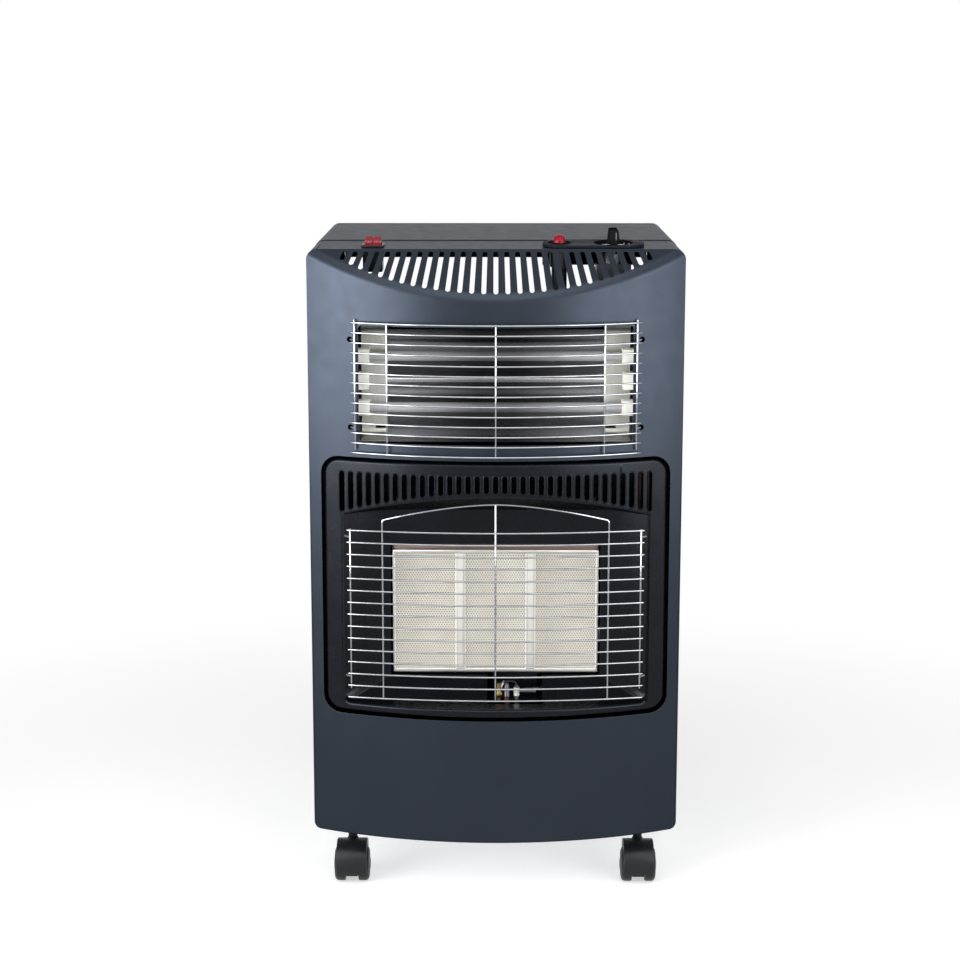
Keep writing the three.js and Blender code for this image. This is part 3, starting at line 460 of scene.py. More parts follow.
MADE = {}
HOLE_PITCH = 2.9
UPRIGHT_GRAIN, LEVEL_GRAIN = (1, 1, 0.1), (0.05, 1, 1)
BRUSHED = {
    "silver_trim": ((0.66, 0.67, 0.68), 0.28, UPRIGHT_GRAIN),
    "stainless_steel": ((0.5, 0.49, 0.47), 0.34, LEVEL_GRAIN),
    "brass_fitting": ((0.12, 0.09, 0.04), 0.36, UPRIGHT_GRAIN),
    "dull_steel": ((0.42, 0.42, 0.43), 0.36, UPRIGHT_GRAIN),
    "sooted_steel": ((0.09, 0.088, 0.095), 0.42, UPRIGHT_GRAIN),
    "copper_tube": ((0.15, 0.075, 0.045), 0.42, UPRIGHT_GRAIN),
    "reflector_end": ((0.42, 0.42, 0.39), 0.48, UPRIGHT_GRAIN),
    "heat_tinted_steel": ((0.14, 0.1, 0.09), 0.4, LEVEL_GRAIN),
}


def surface(name, base, roughness, metallic=0.0, **sockets):
    """A material with its plain values on the shader's own sockets."""
    material = bpy.data.materials.new(name)
    material.use_nodes = True
    shader = material.node_tree.nodes["Principled BSDF"]
    shader.inputs["Base Color"].default_value = (*base, 1)
    shader.inputs["Roughness"].default_value = roughness
    shader.inputs["Metallic"].default_value = metallic
    for socket, value in sockets.items():
        shader.inputs[socket.replace("_", " ")].default_value = value
    MADE[name] = material
    return material


def node(material, kind, inputs=(), **settings):
    made = material.node_tree.nodes.new("ShaderNode" + kind)
    for key, value in settings.items():
        setattr(made, key, value)
    for socket, value in dict(inputs).items():
        if isinstance(value, bpy.types.NodeSocket):
            material.node_tree.links.new(value, made.inputs[socket])
        else:
            made.inputs[socket].default_value = value
    return made


def place_in(material, scale=(1, 1, 1), turn=(0, 0, 0)):
    """The piece's own place in metres, stretched and turned for a pattern."""
    where = node(material, "TexCoord").outputs["Object"]
    return node(material, "Mapping", {"Vector": where, "Scale": scale, "Rotation": turn}).outputs["Vector"]


def noise(material, scale, detail=2.0, stretch=(1, 1, 1)):
    return node(material, "TexNoise", {
        "Vector": place_in(material, stretch), "Scale": scale, "Detail": detail}).outputs["Fac"]


def maths(material, how, *values):
    """A sum, product or other result of amounts."""
    return node(material, "Math", dict(enumerate(values)), operation=how).outputs[0]


def into(material, socket, output):
    shader = material.node_tree.nodes["Principled BSDF"]
    material.node_tree.links.new(output, shader.inputs[socket])


def between(material, amount, low, high, start=0.3, end=0.7):
    """Carries an amount that lies between start and end over to low and high."""
    return node(material, "MapRange", {
        "Value": amount, "From Min": start, "From Max": end, "To Min": low, "To Max": high,
    }).outputs["Result"]


def blended(material, amount, first, second):
    """A colour between two colours."""
    mix = node(material, "Mix", {}, data_type="RGBA")
    links = material.node_tree.links
    for socket, value in ((0, amount), (6, first), (7, second)):
        if isinstance(value, bpy.types.NodeSocket):
            links.new(value, mix.inputs[socket])
        else:
            mix.inputs[socket].default_value = (*value, 1) if socket else value
    return mix.outputs[2]


def bumped(material, height, strength, depth, under=None):
    """Adds relief of a depth in millimetres to the surface."""
    inputs = {"Height": height, "Strength": strength, "Distance": depth * MM}
    if under:
        inputs["Normal"] = under
    bump = node(material, "Bump", inputs).outputs["Normal"]
    into(material, "Normal", bump)
    return bump


def darker(base, share):
    return tuple(channel * share for channel in base)


def mottled(material, base, scale, low=0.85, high=1.15, stretch=(1, 1, 1), detail=3.0):
    """Lets the colour vary softly."""
    amount = between(material, noise(material, scale, detail, stretch), 0, 1)
    into(material, "Base Color", blended(material, amount, darker(base, low), darker(base, high)))


def uneven(material, scale, low, high, stretch=(1, 1, 1)):
    into(material, "Roughness", between(material, noise(material, scale, 3.0, stretch), low, high))


def painted_end_light(material, start, end):
    """How far a place lies sideways from the heater's middle, from 0 to 1: the share of painted light that
    brightens the ends.
    """
    x = node(material, "SeparateXYZ", {"Vector": place_in(material)}).outputs["X"]
    return between(material, maths(material, "ABSOLUTE", x), 0, 1, start, end)


def make_paint(base):
    paint = surface("cabinet_paint", base, 0.34, 0.7, Specular_IOR_Level=0.1,
                    Specular_Tint=(0.3, 0.31, 0.33, 1))
    flakes = node(paint, "TexVoronoi", {"Vector": place_in(paint), "Scale": 2600})
    speck = between(paint, flakes.outputs["Distance"], 0, 1, 0.1, 0.8)
    shade = between(paint, noise(paint, 14, 2.0), 0.35, 0.65)
    amount = maths(paint, "MULTIPLY", speck, shade)
    into(paint, "Base Color", blended(paint, amount, darker(base, 0.86), darker(base, 1.22)))
    uneven(paint, 60, 0.32, 0.38)
    peel = bumped(paint, noise(paint, 420, 1.0), 0.15, 0.015)
    bumped(paint, flakes.outputs["Distance"], 0.12, 0.01, peel)


def coat(name, base, roughness, mottling, wear, grain, metallic=0.0, **sockets):
    """A softly varying finish. Mottling and wear: scale, low, high. Grain: scale, detail, strength, depth."""
    made = surface(name, base, roughness, metallic, **sockets)
    mottled(made, base, *mottling)
    if wear:
        uneven(made, *wear)
    scale, detail, strength, depth = grain
    bumped(made, noise(made, scale, detail), strength, depth)


def make_plastic(name, base, roughness, shine=0.25):
    coat(name, base, roughness, (35, 0.9, 1.12), (90, roughness - 0.05, roughness + 0.07),
         (1500, 2.0, 0.35, 0.02), Specular_IOR_Level=shine)


def make_porcelain(name, base):
    coat(name, base, 0.42, (50, 0.93, 1.04), None, (900, 2.0, 0.25, 0.03), Specular_IOR_Level=0.45)


def make_brushed(name, base, roughness, stretch):
    metal = surface(name, base, roughness, 1.0)
    streaks = noise(metal, 900, 2.0, stretch)
    amount = between(metal, streaks, 0, 1)
    into(metal, "Base Color", blended(metal, amount, darker(base, 0.88), darker(base, 1.08)))
    into(metal, "Roughness", between(metal, streaks, roughness - 0.05, roughness + 0.08))
    bumped(metal, streaks, 0.4, 0.015)


def make_polished():
    """Bright rolled reflector sheet, with the faint lines of its rolling along it, and painted light that
    brightens it towards both ends.
    """
    bright = surface("polished_aluminium", (0.36, 0.36, 0.375), 0.24, 1.0)
    clouds = between(bright, noise(bright, 6, 3.0, (0.5, 4, 4)), -0.12, 0.12)
    # Painted light: the colour runs from dark in the middle to bright at both ends, with soft clouds laid over
    # it.
    amount = maths(bright, "ADD", painted_end_light(bright, 0.02, 0.16), clouds)
    into(bright, "Base Color", blended(bright, amount, (0.14, 0.14, 0.15), (0.47, 0.47, 0.48)))
    uneven(bright, 20, 0.22, 0.28, stretch=(0.5, 5, 5))
    bumped(bright, noise(bright, 260, 1.0, (0.01, 1, 1)), 0.08, 0.01)


def make_galvanised():
    zinc = surface("galvanised_steel", (0.52, 0.54, 0.56), 0.42, 1.0)
    spangle = node(zinc, "TexVoronoi", {"Vector": place_in(zinc), "Scale": 90})
    tint = node(zinc, "SeparateColor", {"Color": spangle.outputs["Color"]}).outputs[0]
    into(zinc, "Base Color", blended(zinc, tint, (0.42, 0.44, 0.46), (0.62, 0.64, 0.66)))
    into(zinc, "Roughness", between(zinc, tint, 0.36, 0.5, 0, 1))
    bumped(zinc, noise(zinc, 400, 2.0), 0.2, 0.02)


def make_ceramic(base):
    """Burner plaque: rows of fine holes, each row moved on by half a step, each hole darkened by painted shade.
    """
    ceramic = surface("burner_ceramic", base, 0.8)
    row = HOLE_PITCH * MM * math.cos(math.pi / 6)
    holes = 0
    for turn in (30, 90, 150):
        place = place_in(ceramic, turn=(0, math.radians(turn), 0))
        x = node(ceramic, "SeparateXYZ", {"Vector": place}).outputs["X"]
        wave = maths(ceramic, "COSINE", maths(ceramic, "MULTIPLY", x, 2 * math.pi / row))
        holes = maths(ceramic, "ADD", holes, wave)
    depth = between(ceramic, holes, 0, 1, 0.2, 1.5)
    clouds = between(ceramic, noise(ceramic, 40, 3.0), 0, 1)
    tone = blended(ceramic, clouds, darker(base, 0.79), darker(base, 0.91))
    # Painted shade: each hole is coloured dark, as the shade inside it would fall; the same amount sinks the
    # holes by bump below.
    into(ceramic, "Base Color", blended(ceramic, depth, tone, darker(base, 0.26)))
    bumped(ceramic, between(ceramic, depth, 1, 0, 0, 1), 0.8, 0.5)


def make_quartz():
    """Sand-blasted quartz, which lets light through but hides its coil; painted light makes it pale towards
    both ends and dark in the middle.
    """
    quartz = surface("quartz", (0.36, 0.36, 0.38), 0.5, Transmission_Weight=0.25, IOR=1.46)
    clouds = between(quartz, noise(quartz, 20, 2.0, (0.3, 1, 1)), -0.08, 0.08)
    # Painted light: the colour runs from dark in the middle to pale at both ends, with soft clouds laid over
    # it.
    amount = maths(quartz, "ADD", painted_end_light(quartz, 0.02, 0.15), clouds)
    into(quartz, "Base Color", blended(quartz, amount, (0.08, 0.08, 0.09), (0.52, 0.52, 0.54)))
    uneven(quartz, 60, 0.46, 0.54, stretch=(0.1, 1, 1))
    bumped(quartz, noise(quartz, 1800, 1.0), 0.08, 0.01)


def make_finishes(colours):
    """Makes every finish of the heater once."""
    make_paint(tuple(colours.paint))
    coat("black_enamel", tuple(colours.enamel), 0.26, (25, 0.85, 1.2), (45, 0.24, 0.3), (500, 1.0, 0.2, 0.01),
         Specular_IOR_Level=0.18, Specular_Tint=(0.8, 0.87, 1, 1))
    make_plastic("black_plastic", tuple(colours.plastic), 0.38)
    make_plastic("plate_plastic", tuple(colours.surround), 0.5, 0.018)
    make_plastic("matt_plastic", darker(tuple(colours.plastic), 0.8), 0.55, 0)
    make_plastic("lead_insulation", (0.012, 0.012, 0.013), 0.55)
    coat("red_plastic", tuple(colours.red), 0.26, (120, 0.85, 1.15), (200, 0.18, 0.3), (1200, 1.0, 0.15, 0.01),
         Specular_IOR_Level=0.12, Subsurface_Weight=0.15, Subsurface_Scale=0.002)
    coat("chrome_wire", (0.31, 0.32, 0.34), 0.14, (60, 0.88, 1.1), (140, 0.1, 0.2), (900, 2.0, 0.2, 0.01), 1.0)
    make_polished()
    make_galvanised()
    for name, (base, roughness, stretch) in BRUSHED.items():
        make_brushed(name, base, roughness, stretch)
    make_ceramic(tuple(colours.plaque))
    make_porcelain("white_ceramic", tuple(colours.porcelain))
    make_porcelain("plaque_cement", darker(tuple(colours.porcelain), 0.57))
    make_quartz()


# ---- the bowed front -------------------------------------------------------------------------

def arc_radius(half, rise):
    """Radius of an arc that rises so far over half its width."""
    return (half * half + rise * rise) / (2 * rise)


def bow_y(x, inset=0.0, bow=50.0):
    """Y of the bowed front at x, set back by inset."""
    radius = arc_radius(WIDTH / 2, bow)
    return radius - bow - math.sqrt((radius - inset) ** 2 - x * x)


def bowed_block(name, inset, half, rear, low, high, steps, bow=50.0):
    """A block with a bowed front: one upright edge is spun round to the other side."""
    y, radius = bow_y(half, inset, bow), arc_radius(WIDTH / 2, bow)
    piece = block(name, (-half, half), (y, rear), (low, high))
    pick(piece, "FACE", facing(AHEAD))
    bpy.ops.mesh.delete(type="ONLY_FACE")
    pick(piece, "EDGE", edge_along("z", lambda m: m.x < 1 - half and abs(m.y - y) < 0.1))
    turn = 2 * math.asin(half / (radius - inset))
    bpy.ops.mesh.spin(steps=steps, angle=-turn, center=at(0, radius - bow, 0), axis=(0, 0, 1))
    return tidy(piece, fill=True)


def stadium(name, width, low, high, depth):
    """A cutter for a slot with round ends, standing at x = 0 between two heights."""
    radius = width / 2
    outline = around(radius, range(0, 181, 20), (0, high - radius))
    outline += around(radius, range(180, 361, 20), (0, low + radius))
    return prism(name, outline, "y", -depth / 2, depth / 2)


def widened(piece, side_x, reach, drop):
    """Carries both sides of a bowed block outwards, along the slope of its front."""
    for side in (-1, 1):
        pick(piece, "FACE", facing((side, 0, 0)))
        bpy.ops.mesh.extrude_region_move(TRANSFORM_OT_translate={"value": (side * reach * MM, 0, 0)})
        pick(piece, "VERT", lambda v, s=side: v.co.x * s > (side_x + reach - 0.1) * MM and spot(v).y < 12)
        bpy.ops.transform.translate(value=(0, drop * MM, 0))
    return tidy(piece)


def panel_solid(name, sizes, inset, rear):
    """The front panel as a solid form, set in all round by a thickness."""
    bow, shoulder = sizes.bow / MM, sizes.shoulder / MM
    # The bow is spun over twice fine; both sides are then carried outwards by reach.
    half, fine, reach = WIDTH / 2, 198, 14
    piece = bowed_block(name, inset, fine, rear, PANEL_LOW - 10, HEIGHT + 10, 160, bow)
    slope = (bow_y(half - inset, inset, bow) - bow_y(fine, inset, bow)) / (half - inset - fine)
    widened(piece, fine, reach, slope * reach)
    pick(piece, "FACE", everything)
    bpy.ops.mesh.bisect(plane_co=at(0, 0, HEIGHT) - SCOOP_OUT * inset * MM, plane_no=SCOOP_OUT,
                        use_fill=True, clear_outer=True)
    tidy(piece)
    lower_edge = meeting(lambda f: f.normal.dot(SCOOP_OUT) > 0.999,
                         lambda f: abs(f.normal.z) < 0.01 and f.normal.y < -0.5)
    bevel(piece, lower_edge, sizes.scoop_edge / MM - 0.4 * inset, 7)
    outline = rounded_block("outline", (inset - half, half - inset), (-bow - 10, rear + 5),
                            (PANEL_LOW + inset, HEIGHT - inset), 8 - inset, "y", 6, shoulder - inset)
    carve(piece, outline, how="INTERSECT")
    tidy(piece)
    rim = meeting(lambda f: abs(f.normal.y) < 0.02, lambda f: f.normal.y < -0.3)
    arc = (HEIGHT - 0.96 * shoulder) * MM
    bevel(piece, lambda e: rim(e) and all(v.co.z < arc for v in e.verts), sizes.edge / MM - inset, 5)
    return tidy(piece)


class HEATER_OT_front_panel(bpy.types.Operator):
    """Bowed front pressing with its scoop, vent slots, window, hearth hole and top strip"""
    bl_idname = "heater.front_panel"
    bl_label = "Front panel"

    def execute(self, context):
        sizes = context.scene.heater_cabinet
        bow, half = sizes.bow / MM, WIDTH / 2
        panel = panel_solid("front_panel", sizes, 0, SEAM)
        carve(panel, panel_solid("hollow", sizes, SHEET, SEAM + 4))
        carve(panel, block("behind", (-220, 220), (RETURN, 130), (0, HEIGHT - 12)))
        carve(panel, bowed_block("foot", 13, half - 13, REAR, PANEL_LOW - 5, PANEL_LOW + 5, 60, bow))
        for wide, low, high, radius, steps in OPENINGS:
            cutter = rounded_block("opening", (-wide, wide), (-70, 10), (low, high), radius, "y", steps)
            carve(panel, cutter)
        middle = (sizes.slots - 1) / 2
        for i in range(sizes.slots + 1):
            x = (i - middle - 0.5) * VENT_PITCH
            pick(panel, "FACE", lambda face: abs(face.normal.dot(SCOOP_OUT)) > 0.999)
            fan = math.atan2(x, VENT_FAN)
            across = Vector(RIGHT) * math.cos(fan) + SCOOP_UP * math.sin(fan)
            bpy.ops.mesh.bisect(plane_co=at(x, 0, HEIGHT), plane_no=across)
        slots = []
        for i in range(sizes.slots):
            x = (i - middle) * VENT_PITCH
            fan = math.atan2(x, VENT_FAN)
            reach = -bow_y(x * 1.08, 0, bow) / math.cos(SCOOP) - 4.5
            slot = stadium("slot", sizes.slot / MM, -reach / math.cos(fan), -3.5, 14)
            lean = Matrix.Rotation(SCOOP - math.pi / 2, 4, "X") @ Matrix.Rotation(-fan, 4, "Y")
            slot.data.transform(moved(ORIGIN, at(x, 0, HEIGHT), lean))
            slots.append(slot)
        carve(panel, *slots)
        holes = [rod("hook_hole", 3, "y", at(x, 0, z), -60, 0, 20) for x in (-HOOK_X, HOOK_X) for z in HOOKS]
        x, y = SWITCH
        through = (HEIGHT - 14, HEIGHT + 11)
        holes += [rod("dial_hole", 15.6, "z", at(*DIAL, 0), *through, 40),
                  rod("button_hole", 7.6, "z", at(*BUTTON, 0), *through, 32),
                  block("switch_hole", (x - 11, x + 11), (y - 16.2, y + 16.2), through)]
        carve(panel, *holes)
        soften(panel, 0.42)
        finish(panel, "cabinet_paint", "front_panel", angle=30, sheet=True)
        return {"FINISHED"}


# ---- cabinet ---------------------------------------------------------------------------------

def folded(name, x, y, z, kept, bend):
    """A sheet folded like the faces of a box: kept says which of its sides are there."""
    stays = facing(*kept)
    piece = block(name, x, y, z)
    pick(piece, "FACE", lambda face: not stays(face))
    bpy.ops.mesh.delete(type="ONLY_FACE")
    pick(piece, "EDGE", lambda edge: len(edge.link_faces) == 0)
    bpy.ops.mesh.delete(type="EDGE")
    bevel(piece, lambda edge: len(edge.link_faces) == 2, bend, 4)
    return thicken(tidy(piece), SHEET)


def rear_cover_solid(name, wall):
    """The rear cover as a solid form with a field set in, set in itself by the thickness of its wall."""
    half = WIDTH / 2 - 18.2 - wall
    piece = block(name, (-half, half), (REAR - 13 - 3 * wall, REAR - wall), (84 + wall, 640 - wall))
    pick(piece, "FACE", facing(BEHIND))
    for width, depth in ((30 - wall, 0), (7, -2.2)):
        bpy.ops.mesh.inset(thickness=width * MM, depth=depth * MM)

    def step(edge):
        near = min(spot(v).y for v in edge.verts) > REAR - wall - 3
        return len(edge.link_faces) == 2 and 0.03 < edge.calc_face_angle(0) < 1 and near
    bevel(piece, step, 1.5, 3)
    bevel(piece, edge_along("y", lambda m: abs(m.x) > half - 1), 5 - wall, 5)
    brim = meeting(lambda f: f.normal.y > 0.99, lambda f: abs(f.normal.y) < 0.01)
    return bevel(piece, brim, 2.4 - wall, 3)


def back_hole(radius, x, z, sides):
    """A cutter for a round hole in the sheets at the rear."""
    return rod("hole", radius, "y", at(x, 0, z), REAR - 6, REAR + 3, sides)


class HEATER_OT_cabinet(bpy.types.Operator):
    """Side panels, rear part of the top and lift-off rear cover"""
    bl_idname = "heater.cabinet"
    bl_label = "Cabinet sheets"

    def execute(self, context):
        half = WIDTH / 2
        for side, name, way in ((-1, "left_side_panel", LEFT), (1, "right_side_panel", RIGHT)):
            panel = folded(name, sorted((side * (half - 17.5), side * half)), (RETURN + 0.3, REAR),
                           (PANEL_LOW, HEIGHT - 12.3), (way, BEHIND), 2.6)
            holes = [back_hole(1.6, side * (half - 9), z, 16) for z in (665, 700)]
            if side < 0:
                holes.append(back_hole(6.2, -198.3, 120, 32))
            carve(panel, *holes)
            soften(panel, 0.25)
            finish(panel, "cabinet_paint", name, sheet=True)

        cover = block("top_cover", (-half, half), (SEAM + 0.3, REAR), (HEIGHT - 12.2, HEIGHT + 0.9))
        bevel(cover, edge_along("y", lambda m: m.z > HEIGHT - 1), 12, 9)
        level = edge_along("x", lambda m: m.y > REAR - 1 and m.z > HEIGHT - 1)

        def rear_edge(edge):
            ends = [spot(v) for v in edge.verts]
            return level(edge) or all(abs(end.y - REAR) < 0.1 and end.z > HEIGHT - 12.1 for end in ends)
        bevel(cover, rear_edge, 2.2, 4)
        pick(cover, "FACE", facing(DOWN, AHEAD))
        bpy.ops.mesh.delete(type="FACE")
        thicken(cover, SHEET)
        wide, low = (-half + 17.8, half - 17.8), HEIGHT - 42
        flange = folded("flange", wide, (REAR - 1.6, REAR), (low, HEIGHT - 11), (BEHIND,), 1)
        hem = rounded_block("hem", wide, (REAR - 4, REAR), (low, low + 3), 1.2, "x", 4)
        cover = join("top_cover", cover, flange, hem)
        soften(cover, 0.25)
        finish(cover, "cabinet_paint", "top_cover", sheet=True)

        back = rear_cover_solid("rear_cover", 0)
        carve(back, rear_cover_solid("hollow", SHEET))
        mouths, hoods = [], []
        hood = turned("hood", [(1, -56), (2.6, -55), (4.2, -52), (4.6, -48), (4.6, 48), (4.2, 52), (2.6, 55),
                               (1, 56)], "x", at(0, REAR - 2.8, 0), 24)
        levels = [row + 12 * i for row in (150, 560) for i in range(5)]
        for z in levels:
            for x in (-90, 90):
                wide = (x - 51, x + 51)
                mouths.append(rounded_block("mouth", wide, (REAR - 8, REAR + 5), (z, z + 4.2), 1.6, "y"))
                hoods.append(copy(hood, "hood", x, 0, z + 4.6))
        carve(back, *mouths)
        discard(hood)
        hoods = join("hoods", *hoods)
        inside = [block("inside", (x - 60, x + 60), (REAR - 30, REAR - 3.2), (140, 625)) for x in (-90, 90)]
        carve(hoods, *inside)
        lower = [block("lower", (-180, 180), (REAR - 30, REAR + 10), (z - 5, z + 4.4)) for z in levels]
        carve(hoods, *lower)
        back = join("rear_cover", back, hoods)
        soften(back, 0.25)
        finish(back, "cabinet_paint", "rear_cover", body="back", sheet=True)

        screw = turned("screw", [(3.6, 0), (3.6, 0.6), (3.2, 1.3), (2.2, 1.8), (1, 2)], "y", at(0, 0, 0), 24)
        long, thin = (-1.7, 1.7), (-0.35, 0.35)
        cross = [block("cross", long, (1, 3), thin), block("cross", thin, (1, 3), long)]
        carve(screw, carve(*cross, how="UNION"))
        fixed = [copy(screw, "s", x, REAR, z) for x in (-half + 9, half - 9) for z in (90, 330, 665, 700)]
        fixed += [copy(screw, "s", x, REAR, HEIGHT - 26) for x in (-150, 0, 150)]
        finish(join("cabinet_screws", *fixed), "galvanised_steel")
        loose = [copy(screw, "s", x, REAR, z) for x in (-172, 172) for z in (98, 626)]
        finish(join("rear_cover_screws", *loose), "galvanised_steel", body="back")
        discard(screw)
        dress("galvanised_steel", "base_plate")
        # Painted shade: the heat shield is given black enamel so that what shows through the slots in front of
        # it stays dark.
        dress("black_enamel", "heat_shield")
        return {"FINISHED"}


# ---- controls --------------------------------------------------------------------------------

def tilt(piece):
    """Lifts the top of a control towards the back, so that the plate faces the user a little."""
    for corner in piece.data.vertices:
        if corner.co.z > (COUNTER + 0.5) * MM:
            corner.co.z += PLATE_SLOPE * (corner.co.y - at(0, DIAL[1] - PLATE_HALF, 0).y)


class HEATER_OT_gas_controls(bpy.types.Operator):
    """Control plate, dial ring, gas knob and ignition button"""
    bl_idname = "heater.gas_controls"
    bl_label = "Gas controls"

    def execute(self, context):
        dial, button = at(*DIAL, 0), at(*BUTTON, 0)
        depth, below, above = DIAL[1], COUNTER - 4, COUNTER + 9
        plate = rounded_block("control_escutcheon", PLATE_X, (depth - PLATE_HALF, depth + PLATE_HALF),
                              (COUNTER, COUNTER + 2.6), 22, "z", 12)
        collar = turned("igniter_collar", [(13, 1), (13, 2.7), (12.4, 3.1), (9.4, 3.2), (8.2, 2.2), (7.6, 1),
                                           (13, 1)], "z", button, 48, COUNTER)
        tilt(collar)
        finish(collar, "matt_plastic")
        carve(plate, rod("hole", 21.6, "z", dial, below, above, 56),
              rod("hole", 7.5, "z", button, below, above, 40))
        tilt(plate)
        soften(plate, 0.6, 3)
        finish(plate, "plate_plastic", "control_escutcheon", angle=30)

        ring = turned("dial_ring", [(15.7, 0), (21.2, 0), (21.2, 1.8), (20.9, 2.8), (20.2, 3.2), (19.4, 2.9),
                                    (16.4, 1.2), (15.7, 1), (15.7, 0)], "z", dial, 64, COUNTER)
        finish(ring, "matt_plastic", "dial_ring")
        notch = block("dial_notch", (-0.5, 0.5), (-19.2, -17), (COUNTER + 1.4, COUNTER + 2.8))
        bevel(notch, edge_along("z"), 0.3, 2)
        marks = [copy(notch, "mark", change=moved(ORIGIN, dial, Matrix.Rotation(math.radians(turn), 4, "Z")))
                 for turn in range(-15, 196, 30)]
        discard(notch)
        finish(join("dial_marks", *marks), "plaque_cement", slot="silver_trim")

        skirt = turned("gas_knob_skirt", [(13.2, 0.5), (13.7, 0.8), (13.8, 1.4), (13.3, 2), (12, 2.3), (9, 2.5),
                                          (7.8, 2.7), (7.6, 3)], "z", dial, 64, HEIGHT)
        carve(skirt, rod("bore", SPINDLE_BORE, "z", dial, HEIGHT - 2, HEIGHT + 9, 32))
        finish(skirt, "dull_steel", body="knob")
        grip = block("gas_knob", (-6, 6), (-KNOB_HALF, KNOB_HALF), (HEIGHT + 7.8, HEIGHT + 20))
        pick(grip, "EDGE", edge_along("y"))
        bpy.ops.mesh.subdivide(number_cuts=5)
        for y, size in ((0, 0.8), (6.13, 0.84), (-6.13, 0.84), (12.27, 0.94), (-12.27, 0.94)):
            pick(grip, "VERT", lambda v, y=y: abs(spot(v).y - y) < 0.5)
            bpy.ops.transform.resize(value=(size, 1, 1), center_override=at(0, y, HEIGHT))
        pick(grip, "FACE", facing(UP))
        bpy.ops.transform.resize(value=(0.8, 0.92, 1), center_override=at(0, 0, HEIGHT + 20))
        bpy.ops.object.mode_set(mode="OBJECT")
        hub = turned("hub", [(7.4, 2.4), (7.6, 4.4), (7.4, 8), (6.6, 9)], "z", dial, 40, HEIGHT)
        carve(hub, rod("bore", SPINDLE_BORE, "z", dial, HEIGHT - 2, HEIGHT + 8, 32))
        pointer = block("knob_pointer", (1.3, 2.7), (-19, -15.5), (HEIGHT + 8.2, HEIGHT + 17))
        foot = block("foot", (-4.2, 4.2), (-14.3, 14.3), (HEIGHT + 3.2, HEIGHT + 9))
        bevel(foot, edge_along("z"), 1.2, 3)
        for piece in (grip, pointer, foot):
            piece.data.transform(moved(ORIGIN, dial))
        soften(grip, 1.3, 4, 30, clamp=True)
        finish(soften(pointer, 0.3, 2, 35), "sooted_steel", body="knob")
        finish(join("gas_knob", grip, hub, foot), "matt_plastic", "gas_knob", body="knob")
        dress("sooted_steel", "valve_spindle")

        push = turned("igniter_button", [(6.2, -8), (6.9, -7.4), (6.9, 7), (6.75, 8.6), (6.2, 10.4), (5, 12),
                                         (3.2, 13), (1.2, 13.4)], "z", button, 48, HEIGHT)

        def groove(corner):
            turn = math.degrees(math.atan2(corner.co.y - button.y, corner.co.x - button.x))
            return HEIGHT - 1 < spot(corner).z < HEIGHT + 12.5 and round(turn / 7.5) % 4 == 0
        pick(push, "VERT", groove)
        bpy.ops.transform.resize(value=(0.9, 0.9, 1), center_override=button)
        bpy.ops.object.mode_set(mode="OBJECT")
        finish(push, "red_plastic", "igniter_button", body="button")
        dress("black_plastic", "igniter_body")
        hanger = folded("controls_bracket", (52, 156), (20, 64), (HEIGHT - 23, HEIGHT - 1.4), (BEHIND, UP), 1.5)
        carve(hanger, rod("hole", 17, "z", dial, 700, 740, 40), rod("hole", 10, "z", button, 700, 740, 32))
        finish(soften(hanger, 0.25), "black_enamel")
        return {"FINISHED"}


class HEATER_OT_switches(bpy.types.Operator):
    """Twin switch of the electric section: its housing and two rockers"""
    bl_idname = "heater.switches"
    bl_label = "Switches"

    def execute(self, context):
        x, y = SWITCH
        housing = rounded_block("switch_housing", (x - 12.4, x + 12.4), (y - 17.4, y + 17.4),
                                (COUNTER, COUNTER + 2.4), 2.5, "z", 5)
        body = block("body", (x - 10.7, x + 10.7), (y - 15.8, y + 15.8), (707, COUNTER + 1))
        carve(housing, body, how="UNION")
        well = rounded_block("well", (x - 9.6, x + 9.6), (y - 14, y + 14), (716, HEIGHT + 20), 0.8, "z", 3)
        carve(housing, well)
        soften(housing, 0.5, 3)
        finish(housing, "black_plastic", "switch_housing")
        pivot, radius = HEIGHT + 2, 13.4
        outline = around(radius, (-12, -6, 0, 7, 14, 21, 28, 34, 38)) + [(5.2, 5), (0, 3.4)]
        outline += around(radius, range(164, 193, 4)) + [(-4, -9), (4, -9)]
        points = [(y + a, pivot + b) for a, b in outline]
        for side, centre in (("left", x - 4.7), ("right", x + 4.7)):
            name, body = "rocker_" + side, side + "_rocker"
            rocker = prism(name, points, "x", centre - 4.35, centre + 4.35)
            soften(rocker, 0.5, 3, 25, clamp=True)
            finish(rocker, "red_plastic", name, body=body)
            front = rounded_block("mark", (centre - 0.35, centre + 0.35), (y - 9.6, y - 6.4),
                                  (pivot + 3.2, pivot + 3.75), 0.3, "z", 3)
            place = at(centre, y + 8.6, pivot + 6.6)
            back = turned("mark", [(1.1, 0), (1.7, 0), (1.7, 0.3), (1.1, 0.3), (1.1, 0)], "z", place, 24)
            back.data.transform(moved(place, place, Matrix.Rotation(math.radians(31), 4, "X")))
            finish(join(name + "_marks", front, back), "white_ceramic", body=body)
        return {"FINISHED"}


# ---- electric section ------------------------------------------------------------------------

